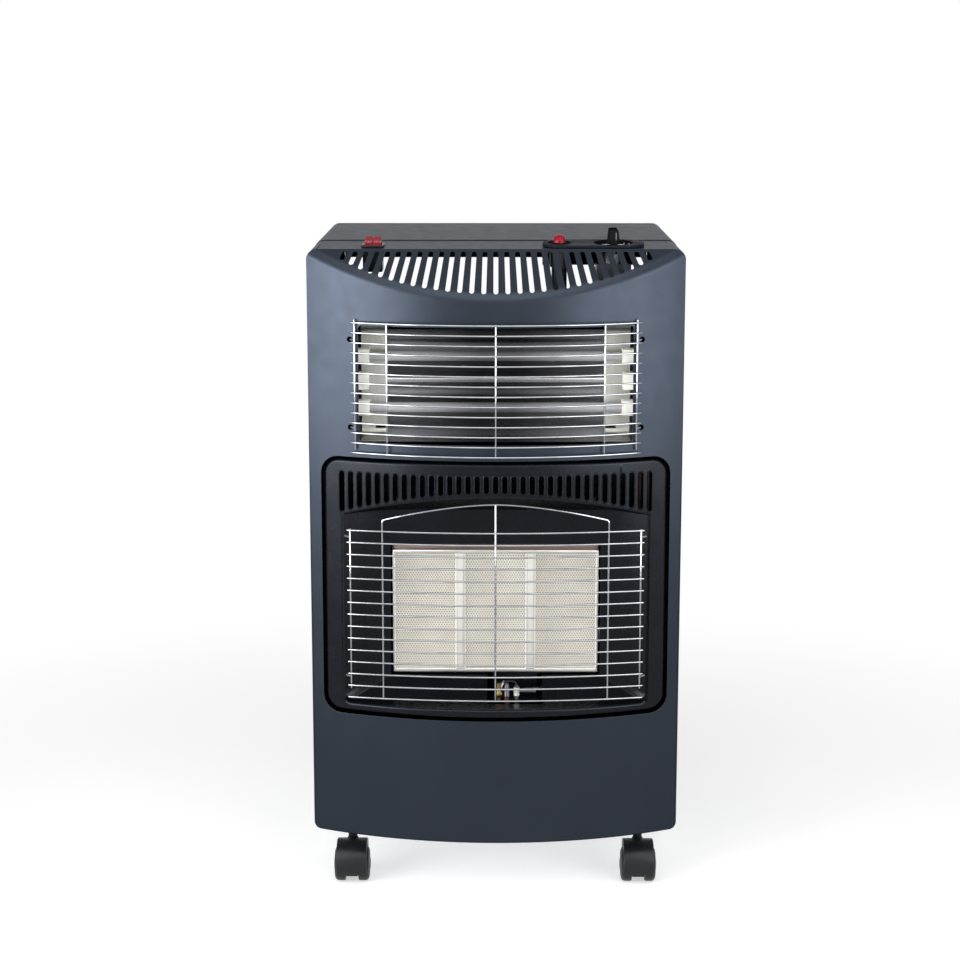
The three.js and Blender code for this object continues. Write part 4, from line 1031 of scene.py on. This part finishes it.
def arc_points(first, middle, last, count):
    """Points on the circle through three (a, b) points."""
    (ax, ay), (bx, by), (cx, cy) = first, middle, last
    d = 2 * (ax * (by - cy) + bx * (cy - ay) + cx * (ay - by))
    ux = ((ax**2 + ay**2) * (by - cy) + (bx**2 + by**2) * (cy - ay) + (cx**2 + cy**2) * (ay - by)) / d
    uy = ((ax**2 + ay**2) * (cx - bx) + (bx**2 + by**2) * (ax - cx) + (cx**2 + cy**2) * (bx - ax)) / d
    radius = math.hypot(ax - ux, ay - uy)
    start, through, end = (math.atan2(py - uy, px - ux) for px, py in (first, middle, last))
    turn = (end - start) % (2 * math.pi)
    if (through - start) % (2 * math.pi) > turn:
        turn -= 2 * math.pi
    return around(radius, [math.degrees(start + turn * i / count) for i in range(count + 1)], (ux, uy))


def sheet_outline(line, thickness):
    """The outline of a bent sheet seen from its edge, thickened away from the front."""
    back = []
    for i, (a, b) in enumerate(line):
        (pa, pb), (na, nb) = line[max(i - 1, 0)], line[min(i + 1, len(line) - 1)]
        long = math.hypot(na - pa, nb - pb)
        back.append((a - (nb - pb) / long * thickness, b + (na - pa) / long * thickness))
    return line + back[::-1]


def spiral(name, radius, thickness, half, centre, turns=72, sides=12):
    """A wire coiled round an axis along x."""
    route = bpy.data.curves.new(name, "CURVE")
    route.dimensions = "3D"
    line = route.splines.new("POLY")
    line.points.add(turns * sides)
    y, z = centre
    for i, point in enumerate(line.points):
        angle = 2 * math.pi * i / sides
        x = -half + 2 * half * i / (turns * sides)
        point.co = (*at(x, y + radius * math.cos(angle), z + radius * math.sin(angle)), 1)
    route.bevel_depth = thickness / 2 * MM
    route.bevel_resolution = 0
    return meshed(name, route)


class HEATER_OT_electric_section(bpy.types.Operator):
    """Reflector, quartz tubes with their coils, and tube holders behind the window"""
    bl_idname = "heater.electric_section"
    bl_label = "Electric section"

    def execute(self, context):
        upper, lower = TUBES["upper"], TUBES["lower"]
        ridge = (upper + lower) / 2
        trough = arc_points((14.5, 644), (33, upper), (20, ridge + 2.5), 16)
        trough += arc_points((20, ridge - 2.5), (33, lower), (14.5, 527.5), 16)
        line = trough + [(12, 526), (3, 523.8), (-6, 522.2)]
        reflector = prism("reflector", sheet_outline(line, 0.6), "x", -153.4, 153.4)
        finish(reflector, "polished_aluminium", "reflector", angle=50)
        cheek = prism("cheek", [(-6, 652), (3, 652), (12, 648.2)] + line[1:], "x", 152.9, 153.6)
        section = [(-4, 652), (9, 649.4), (15.6, 645.6), (18.8, 640), (19.2, 634), (19.2, 538), (18.8, 532),
                   (15.6, 527.4), (10, 525.2), (-4, 522.8)]
        plate = prism("plate", sheet_outline(section, 0.6), "x", 120.5, 149)
        web = prism("web", [(19, 645), (34, 634), (34, 538), (19, 527)], "x", 120.5, 121.1)
        carve(plate, rounded_block("vent", (112, 134), (10, 30), (533, 535.8), 1.1, "y"))
        ends = join("reflector_ends", cheek, plate, web)
        finish(join("reflector_ends", ends, mirrored(ends, "twin")), "reflector_end")
        clip = soften(block("clip", (140.6, 152.6), (6.5, 18.5), (577.5, 597)), 1.2, 3, 35)
        finish(join("reflector_clips", clip, mirrored(clip, "twin")), "white_ceramic")
        for level, z in TUBES.items():
            axis = at(0, TUBE_Y, z)
            name = "quartz_tube_" + level
            tube = turned(name, [(4.6, -149.4), (5.3, -149), (5.5, -148), (5.5, 148), (5.3, 149), (4.6, 149.4),
                                 (4.2, 149.4), (4.2, -149.4), (4.6, -149.4)], "x", axis)
            finish(tube, "quartz", name)
            finish(spiral("heating_coil_" + level, 2.7, 0.7, COIL_HALF, (TUBE_Y, z)), "stainless_steel")
            left, right = ("tube_holder_%s_%s" % (level, side) for side in ("left", "right"))
            holder = block(right, (139.7, 152.4), (TUBE_Y - 8.8, TUBE_Y + 8.8), (z - 8.4, z + 8.4))
            bevel(holder, edge_along("x"), 2, 3)
            carve(holder, rod("bore", 5.8, "x", axis, 134, 149.8, 32))
            soften(holder, 0.5, 2, 40)
            other = mirrored(holder, left)
            finish(holder, "white_ceramic", right)
            finish(other, "white_ceramic", left)
        dress("black_enamel", "reflector_housing")
        return {"FINISHED"}


# ---- wire guards -----------------------------------------------------------------------------

def wire_y(x, half, end_y, middle_y):
    """Y of a bowed cross wire at x."""
    radius = arc_radius(half, end_y - middle_y)
    return middle_y + radius - math.sqrt(radius * radius - x * x)


def cross_wires(name, bow, top, pitch, count, thick):
    """A guard's bowed wires, each a section spun from left to right, and the height of the lowest."""
    half, end_y, middle_y = bow
    radius = arc_radius(half, end_y - middle_y)
    swing = math.asin(half / radius)
    only()
    bpy.ops.mesh.primitive_circle_add(
        vertices=12, radius=thick / 2 * MM, fill_type="NOTHING", location=at(-half, end_y, top),
        rotation=(math.pi / 2, 0, math.pi / 2 - swing))
    first = settle(name)
    pick(first, "EDGE", everything)
    bpy.ops.mesh.spin(steps=30, angle=-2 * swing, center=at(0, middle_y + radius, top), axis=(0, 0, 1))
    tidy(first, fill=True)
    bevel(first, lambda edge: any(len(face.verts) > 4 for face in edge.link_faces), thick * 0.2, 2)
    return [first] + [copy(first, "w", z=-pitch * i) for i in range(1, count)], top - pitch * (count - 1)


def upright(x, y, low, high, thick):
    return rod("w", thick / 2, "z", at(x, y, 0), low, high, 12, thick * 0.25)


class HEATER_OT_guards(bpy.types.Operator):
    """Upper and lower wire guards with their uprights, hooks and arched wire"""
    bl_idname = "heater.guards"
    bl_label = "Wire guards"

    def execute(self, context):
        sizes = context.scene.heater_guards
        thick = sizes.wire / MM

        def behind(bow, x):
            return wire_y(x, *bow) + thick - 0.5

        top, pitch = 656.6, 11.02
        parts, low = cross_wires("upper_guard", UPPER_BOW, top, pitch, sizes.upper_wires, thick)
        for x in (-154, 154):
            y, out = behind(UPPER_BOW, x), math.copysign(HOOK_X, x)
            parts.append(upright(x, y, low + pitch * 0.25, top + 3.6, thick))
            for z in HOOKS:
                hook = [at(x, y, z), at(out, bow_y(out) - 0.5, z), at(out, bow_y(out) + 8.4, z)]
                parts.append(wire("w", hook, 1.1, 8, 2))
        for x in (-118.4, 0, 118.4):
            parts.append(upright(x, behind(UPPER_BOW, x), low - 1.4, top + 1.4, thick))
        finish(join("upper_guard", *parts), "chrome_wire", "upper_guard")

        top, crest, arch_x = 424.8, 457, 125.4
        parts, low = cross_wires("lower_guard", LOWER_BOW, top, 13.68, sizes.lower_wires, thick)
        for x in (-161.5, 161.5):
            y, out = behind(LOWER_BOW, x), x + math.copysign(7.5, x)
            parts.append(upright(x, y, low + 10, top + 1.5, thick))
            parts += [wire("w", [at(x, y, z), at(out, y + 6, z)], 1.1, 8) for z in (417, 257)]
        foot = low - 1.4
        parts.append(upright(0, behind(LOWER_BOW, 0), foot, crest, thick))
        arch = [(x, crest - 19.6 * abs(x / arch_x) ** 1.7) for x in range(-104, 105, 8)]
        arch = [(-arch_x, foot), (-arch_x, 437.4)] + arch + [(arch_x, 437.4), (arch_x, foot)]
        parts.append(wire("w", [at(x, behind(LOWER_BOW, x), z) for x, z in arch], thick / 2, 12, 3))
        finish(join("lower_guard", *parts), "chrome_wire", "lower_guard")
        return {"FINISHED"}


# ---- gas section -----------------------------------------------------------------------------

def arch_z(x):
    """The height of the recess's arch at x."""
    return ARCH_TOP - 26 * (x / RECESS_HALF) ** 2


def recess_solid(name, grow):
    """The cutter of the hearth's recess, larger all round by a thickness."""
    mouth, back, half, crown = -9, 14 + grow, RECESS_HALF + grow, 575
    piece = block(name, (-half, half), (-80, mouth), (226 - grow, 480))
    bevel(piece, edge_along("y", lambda m: m.z < 230), 9 + grow, 6)
    arch = rod("crown", crown + grow, "y", at(0, 0, ARCH_TOP - crown), -90, mouth + 5, 200)
    carve(piece, arch, how="INTERSECT")
    tidy(piece)
    pick(piece, "FACE", facing(BEHIND))
    bpy.ops.mesh.extrude_region_move(TRANSFORM_OT_translate={"value": (0, (back - mouth) * MM, 0)})
    bpy.ops.transform.resize(value=((THROAT_HALF + grow) / half, 1, 1), center_override=ORIGIN)
    pick(piece, "VERT", lambda v: spot(v).y > back - 0.1 and spot(v).z > 430)
    bpy.ops.transform.resize(value=(1, 1, 0), center_override=at(0, back, 441 + grow))
    pick(piece, "VERT", lambda v: spot(v).y > back - 0.1 and spot(v).z < 250)
    bpy.ops.transform.translate(value=(0, 0, 20 * MM))
    bevel(piece, lambda edge: all(abs(spot(v).y - mouth) < 0.01 for v in edge.verts), 2.5, 3)
    return tidy(piece)


def surround_solid(name, bow, inset, wall, rear):
    """The burner surround as a solid form, set in by the thickness of its wall."""
    inset, half, low, high = inset + wall, 190 - wall, HEARTH[0] + wall, HEARTH[1] - wall
    fine, reach = 172, 24
    piece = bowed_block(name, inset, fine, rear, low - 5, high + 5, 100, bow)
    widened(piece, fine, reach, (bow_y(half, inset, bow) - bow_y(fine, inset, bow)) * reach / (half - fine))
    carve(piece, rounded_block("outline", (-half, half), (-70, rear + 5), (low, high), 17 - wall, "y", 12),
          how="INTERSECT")
    tidy(piece)
    carve(piece, recess_solid("recess", wall))
    tidy(piece, merge=0.3)

    brim = meeting(lambda f: f.normal.y < -0.8 and f.calc_center_median().y < at(0, -2, 0).y,
                   lambda f: abs(f.normal.y) < 0.02)
    bevel(piece, brim, 3.2 - 0.6 * wall, 5)
    return tidy(piece)


class HEATER_OT_burner_surround(bpy.types.Operator):
    """Black pressing round the burner, with its louvres, arched recess and throat"""
    bl_idname = "heater.burner_surround"
    bl_label = "Burner surround"

    def execute(self, context):
        sizes = context.scene.heater_cabinet
        bow, inset = sizes.bow / MM, 1.8
        body = surround_solid("burner_surround", bow, inset, 0, 15.4)
        carve(body, surround_solid("hollow", bow, inset, 1.3, 20))

        def outer_edge(edge):
            depths = [face.normal.y for face in edge.link_faces]
            return faces_ahead(edge) and all(y < -0.9 or abs(y) < 0.1 for y in depths)
        pitch = 340 / (sizes.louvres - 1)
        collars, slots = [], []
        for i in range(sizes.louvres):
            x = (i - (sizes.louvres - 1) / 2) * pitch
            y, lowest = bow_y(x, inset, bow), arch_z(x) + 5.5
            collar = block("collar", (x - 4.2, x + 4.2), (y - 1.3, y + 0.6), (lowest - 1.5, 492))
            bevel(collar, edge_along("y"), 3.9, 5)
            collars.append(bevel(collar, outer_edge, 1))
            slots.append(stadium("slot", 5.6, lowest, 490.6, 12))
            slots[-1].data.transform(Matrix.Translation((x * MM, y * MM, 0)))
        carve(body, join("collars", *collars), how="UNION")
        carve(body, *slots)
        carve(body, rounded_block("burner_hole", (-118.4, 118.4), (5, 40), (249, 401.5), 2, "y"))
        carve(body, block("pilot_hole", (-9, 53), (-24, 40), (215, 250)))
        soften(body, 0.3)
        finish(body, "black_enamel", "burner_surround", angle=35, sheet=True)
        return {"FINISHED"}


class HEATER_OT_burner(bpy.types.Operator):
    """Burner frame with three perforated ceramic plaques"""
    bl_idname = "heater.burner"
    bl_label = "Burner"

    def execute(self, context):
        frame_piece = block("burner_frame", (-117, 117), (18.5, 34), (250.6, 394))
        bevel(frame_piece, faces_ahead, 1.8, 4)
        pick(frame_piece, "FACE", facing(BEHIND))
        bpy.ops.mesh.delete(type="FACE")
        thicken(frame_piece, SHEET)
        for x in PLAQUES.values():
            wide = (x - PLAQUE_HALF + 1, x + PLAQUE_HALF - 1)
            opening = rounded_block("opening", wide, (10, 20.1), (254.6, 390), 1.5, "y", 4)
            carve(frame_piece, opening)
        soften(frame_piece, 0.3)
        lip = rounded_block("burner_lip", (-116.4, 116.4), (21, 23.7), (393.2, 400.2), 1.2, "y", 4)
        finish(soften(lip, 0.4), "heat_tinted_steel")
        finish(frame_piece, "stainless_steel", "burner_frame")
        for side, x in PLAQUES.items():
            plaque = block("plaque_" + side, (x - PLAQUE_HALF, x + PLAQUE_HALF), (20.3, 32.3), (253, 391.6))
            plaque.data.materials.append(MADE["white_ceramic"])
            plaque.data.materials.append(MADE["burner_ceramic"])
            pick(plaque, "FACE", facing(AHEAD))
            bpy.ops.mesh.inset(thickness=1.4 * MM, depth=0)
            bpy.ops.mesh.inset(thickness=0.6 * MM, depth=-0.5 * MM)
            plaque.active_material_index = 1
            bpy.ops.object.material_slot_assign()
            bpy.ops.object.mode_set(mode="OBJECT")
            soften(plaque, 0.5, 2, 60)
            finish(plaque, "burner_ceramic", "plaque_" + side)
        strips = []
        for x in (PLAQUES["left"] / 2, PLAQUES["right"] / 2):
            strip = block("strip", (x - 3.5, x + 3.5), (17.7, 18.7), (255, 389.6))
            strips.append(bevel(strip, faces_ahead, 0.7))
        finish(join("plaque_joints", *strips), "plaque_cement")
        dress("galvanised_steel", "burner_plenum", "mixing_tube")
        return {"FINISHED"}


class HEATER_OT_pilot(bpy.types.Operator):
    """Pilot burner, thermocouple tip and spark electrode, with their tubes and leads"""
    bl_idname = "heater.pilot"
    bl_label = "Pilot"

    def execute(self, context):
        y = PILOT_Y
        sleeve = turned("pilot_nozzle", [(3.3, 0), (3.6, 0.4), (3.6, 6.8), (3.3, 7.2), (3.3, 11.2), (2.4, 16.6),
                                         (1.5, 17.2)], "z", at(4, y, 0), 24, 227)
        nut = turned("nut", [(4.3, 0), (4.5, 0.4), (4.5, 3.6), (4.3, 4)], "z", at(4, y, 0), 6, 229)
        finish(join("pilot_nozzle", sleeve, nut), "brass_fitting")
        target = rounded_block("pilot_target", (5.9, 7.9), (y - 1.2, y + 1.2), (238.5, 247), 0.5, "z", 2)
        place = at(7, y, 240)
        target.data.transform(moved(place, place, Matrix.Rotation(math.radians(24), 4, "Y")))
        finish(target, "plaque_cement")
        tip = turned("thermocouple_tip", [(3.45, 0), (3.7, 0.5), (3.7, 2.7), (3.45, 3.1), (3.45, 10.7),
                                          (3.1, 12.1), (2.1, 16.1), (1.2, 16.9)], "z", at(13, y, 0), 28, 227.5)
        finish(tip, "sooted_steel")
        stone = turned("spark_insulator", [(2.9, 0), (3.3, 0.4), (3.3, 3.6), (3, 4.1), (3.3, 4.6), (3.3, 9.4),
                                           (2.6, 11), (1.2, 11.6)], "z", at(24, y, 0), 28, 229.4)
        finish(stone, "plaque_cement")
        needle = wire("spark_needle", [at(24, y, 240.6), at(23.4, y, 244.4), at(19, y - 1.5, 246.7),
                                       at(12, y - 5, 247.3), at(6.3, y - 5, 246.2)], 0.55, 10, 2)
        finish(needle, "sooted_steel")
        feed = rod("pilot_feed", 2.3, "x", at(0, y + 2, 234.2), 27.4, 46, 20, 0.8)
        finish(feed, "sooted_steel")
        dress("black_enamel", "pilot_bracket")
        dress("sooted_steel", "pilot_pipe", "spark_electrode", "gas_valve")
        dress("copper_tube", "thermocouple", "gas_pipe")
        dress("brass_fitting", "pilot_burner", "gas_injector", "hose_tail")
        dress("lead_insulation", "ignition_lead")
        dress("black_plastic", "cable_gland")
        return {"FINISHED"}


# ---- casters ---------------------------------------------------------------------------------

class HEATER_OT_casters(bpy.types.Operator):
    """Four hooded twin-wheel casters"""
    bl_idname = "heater.casters"
    bl_label = "Casters"

    def execute(self, context):
        centre = at(0, 0, HUB_Z)
        inner = around(HUB_Z + 1.2, [6 + 15.5 * i for i in range(13)], (0, HUB_Z))
        outer = [(-24.2, 14.6), (-24.7, 19), (-24.5, 25), (-23.4, 31), (-21.2, 36.4), (-18, 41), (-14, 44.8),
                 (-9.4, 47.6), (-4, 49.2), (1, 49.2), (8, 47.6), (14, 46), (19, 44.2), (22.8, 41.6), (25, 37.4),
                 (25.6, 31), (25.1, 22)]
        hood = prism("hood", inner + outer, "x", -17.4, 17.4)
        soften(hood, 1.1, 3, 30, clamp=True)
        web = prism("web", [(-10, 7), (10, 7), (15, 16), (15, 40), (-12, 42), (-15, 24)], "x", -6.8, 6.8)
        carve(web, rod("bore", 3.2, "x", centre, -20, 20, 32))
        soften(web, 0.8, 2, 30)
        offset = 14
        stem_at = at(0, offset, 0)
        seat = turned("seat", [(6.4, 41), (6.4, 46.4), (6, 47), (5, 47.2)], "z", stem_at, 32)
        stem = turned("stem", [(5.3, 44), (5.3, 74.6), (4.4, 76)], "z", stem_at, 28)
        collar = turned("collar", [(5.6, 56), (5.9, 56.4), (5.9, 59), (5.6, 59.4)], "z", stem_at, 28)
        fork = join("fork", hood, web, seat, stem, collar)
        rim = [(17.6, 7.4), (19, 7.5), (19.7, 8.1), (20, 9), (20, 15.2), (19.6, 17), (18.6, 18.5), (17, 19.5)]
        disc = [(15.6, 19.9), (14.8, 19.4), (13.6, 19.5), (9, 20.4), (5.6, 20.9), (5, 20.4), (3.2, 20.4)]
        wheel = turned("wheel", [(3.2, 7.4)] + rim + disc + [(3.2, 7.4)], "x", centre, 48)
        axle = turned("axle", [(2.2, -18.3), (3, -17.6), (3, 17.6), (2.2, 18.3)], "x", centre, 24)
        wheel_left = mirrored(wheel, "wheel_left")
        for end, y in STEMS.items():
            for side, x in (("left", -CASTER_X), ("right", CASTER_X)):
                body = "%s_%s_" % (end, side)
                fitted = [(fork, "fork", "black_plastic", "swivel"), (axle, "axle", "silver_trim", "swivel")]
                for which, model in (("right", wheel), ("left", wheel_left)):
                    wheel_body = "outer_wheel" if which == side else "inner_wheel"
                    fitted.append((model, "wheel_" + which, "black_plastic", wheel_body))
                for model, kind, look, moving in fitted:
                    name = body + "caster_" + kind
                    finish(copy(model, name, x, y - offset), look, name, body=body + moving)
        discard(fork, wheel, axle, wheel_left)
        return {"FINISHED"}


# ---- stage -----------------------------------------------------------------------------------

def softbox(name, place, aim, size, power, spread):
    lamp = bpy.data.lights.new(name, "AREA")
    lamp.shape = "RECTANGLE"
    lamp.size, lamp.size_y = size
    lamp.energy = power
    lamp.spread = math.radians(spread)
    holder = bpy.data.objects.new(name, lamp)
    bpy.context.collection.objects.link(holder)
    holder.location = place
    holder.rotation_euler = (Vector(aim) - Vector(place)).to_track_quat("-Z", "Y").to_euler()


def in_view(owner):
    """1 for rays that come from the camera or off something glossy or clear, otherwise 0."""
    path = node(owner, "LightPath").outputs
    clear = maths(owner, "MAXIMUM", path["Is Glossy Ray"], path["Is Transmission Ray"])
    return maths(owner, "MAXIMUM", path["Is Camera Ray"], clear)


def make_floor():
    """A pale floor that keeps its shadow near the heater and runs out into white."""
    grey = (0.68, 0.68, 0.68)
    floor = surface("pale_floor", grey, 0.95, Specular_IOR_Level=0.0)
    mottled(floor, grey, 3, 0.99, 1.01)
    tree = floor.node_tree
    shader, output = tree.nodes["Principled BSDF"], tree.nodes["Material Output"]
    seen = in_view(floor)
    away = node(floor, "VectorMath", {0: place_in(floor)}, operation="LENGTH").outputs["Value"]
    lift = node(floor, "Emission", {"Strength": maths(floor, "MULTIPLY", seen, 0.51)}).outputs[0]
    near = node(floor, "AddShader", {0: shader.outputs[0], 1: lift}).outputs[0]
    white = node(floor, "Emission").outputs[0]
    share = maths(floor, "MULTIPLY", between(floor, away, 0, 1, 0.4, 1.15), seen)
    blend = node(floor, "MixShader", {0: share, 1: near, 2: white}).outputs[0]
    tree.links.new(blend, output.inputs["Surface"])
    return floor


class HEATER_OT_stage(bpy.types.Operator):
    """Pale floor, plain studio light and the camera"""
    bl_idname = "heater.stage"
    bl_label = "Stage"

    def execute(self, context):
        scene = context.scene
        scene.view_settings.view_transform = "Standard"
        world = bpy.data.worlds.new("studio")
        world.use_nodes = True
        scene.world = world
        light = world.node_tree.nodes["Background"].inputs
        light["Color"].default_value = (1, 1, 1, 1)
        strength = between(world, in_view(world), 0.3, 1, 0, 1)
        world.node_tree.links.new(strength, light["Strength"])

        only()
        bpy.ops.mesh.primitive_circle_add(vertices=96, radius=60, fill_type="NGON")
        floor = settle("floor")
        floor.data.materials.append(make_floor())

        softbox("window_left", (-0.963, -0.963, 0.66), (-0.15, -0.15, 0.6), (0.88, 0.66), 5.9, 78)
        softbox("window_right", (0.889, -1.031, 0.66), (0.15, -0.15, 0.6), (0.93, 0.66), 3.5, 78)
        softbox("ceiling", (0, -2.1, 2.5), (0, -0.2, 0.2), (2.4, 1.8), 46, 180)

        view = bpy.data.cameras.new("camera")
        view.lens = 82.5
        view.sensor_width = 36
        camera = bpy.data.objects.new("camera", view)
        context.collection.objects.link(camera)
        camera.location = (-0.00097, -2.5606, 0.9396)
        camera.rotation_euler = (math.radians(90 - 10.8836), 0, math.radians(0.3906))
        scene.camera = camera
        return {"FINISHED"}


class HEATER_OT_finishes(bpy.types.Operator):
    """Paints, plastics, metals and ceramics of the heater"""
    bl_idname = "heater.finishes"
    bl_label = "Finishes"

    def execute(self, context):
        make_finishes(context.scene.heater_colours)
        return {"FINISHED"}


# ---- add-on ----------------------------------------------------------------------------------

STEPS = (HEATER_OT_finishes, HEATER_OT_stage, HEATER_OT_front_panel, HEATER_OT_cabinet,
         HEATER_OT_gas_controls, HEATER_OT_switches, HEATER_OT_electric_section, HEATER_OT_guards,
         HEATER_OT_burner_surround, HEATER_OT_burner, HEATER_OT_pilot, HEATER_OT_casters)
SETTINGS = {"heater_cabinet": CabinetSizes, "heater_guards": GuardSizes, "heater_colours": HeaterColours}


class HEATER_PT_pieces(bpy.types.Panel):
    """Pieces and settings of the heater"""
    bl_label = "Gas cabinet heater"
    bl_idname = "HEATER_PT_pieces"
    bl_space_type = "VIEW_3D"
    bl_region_type = "UI"
    bl_category = "Heater"

    def draw(self, context):
        for settings in SETTINGS:
            group = getattr(context.scene, settings)
            box = self.layout.box()
            for name in group.bl_rna.properties.keys():
                if name not in ("rna_type", "name"):
                    box.prop(group, name)
        for step in STEPS:
            self.layout.operator(step.bl_idname)


CLASSES = (*SETTINGS.values(), *STEPS, HEATER_PT_pieces)


def register():
    for made in CLASSES:
        bpy.utils.register_class(made)
    for settings, group in SETTINGS.items():
        setattr(bpy.types.Scene, settings, bpy.props.PointerProperty(type=group))


def unregister():
    for settings in SETTINGS:
        delattr(bpy.types.Scene, settings)
    for made in reversed(CLASSES):
        bpy.utils.unregister_class(made)


def main():
    register()
    for step in STEPS:
        group, name = step.bl_idname.split(".")
        getattr(getattr(bpy.ops, group), name)()


if __name__ == "__main__":
    main()
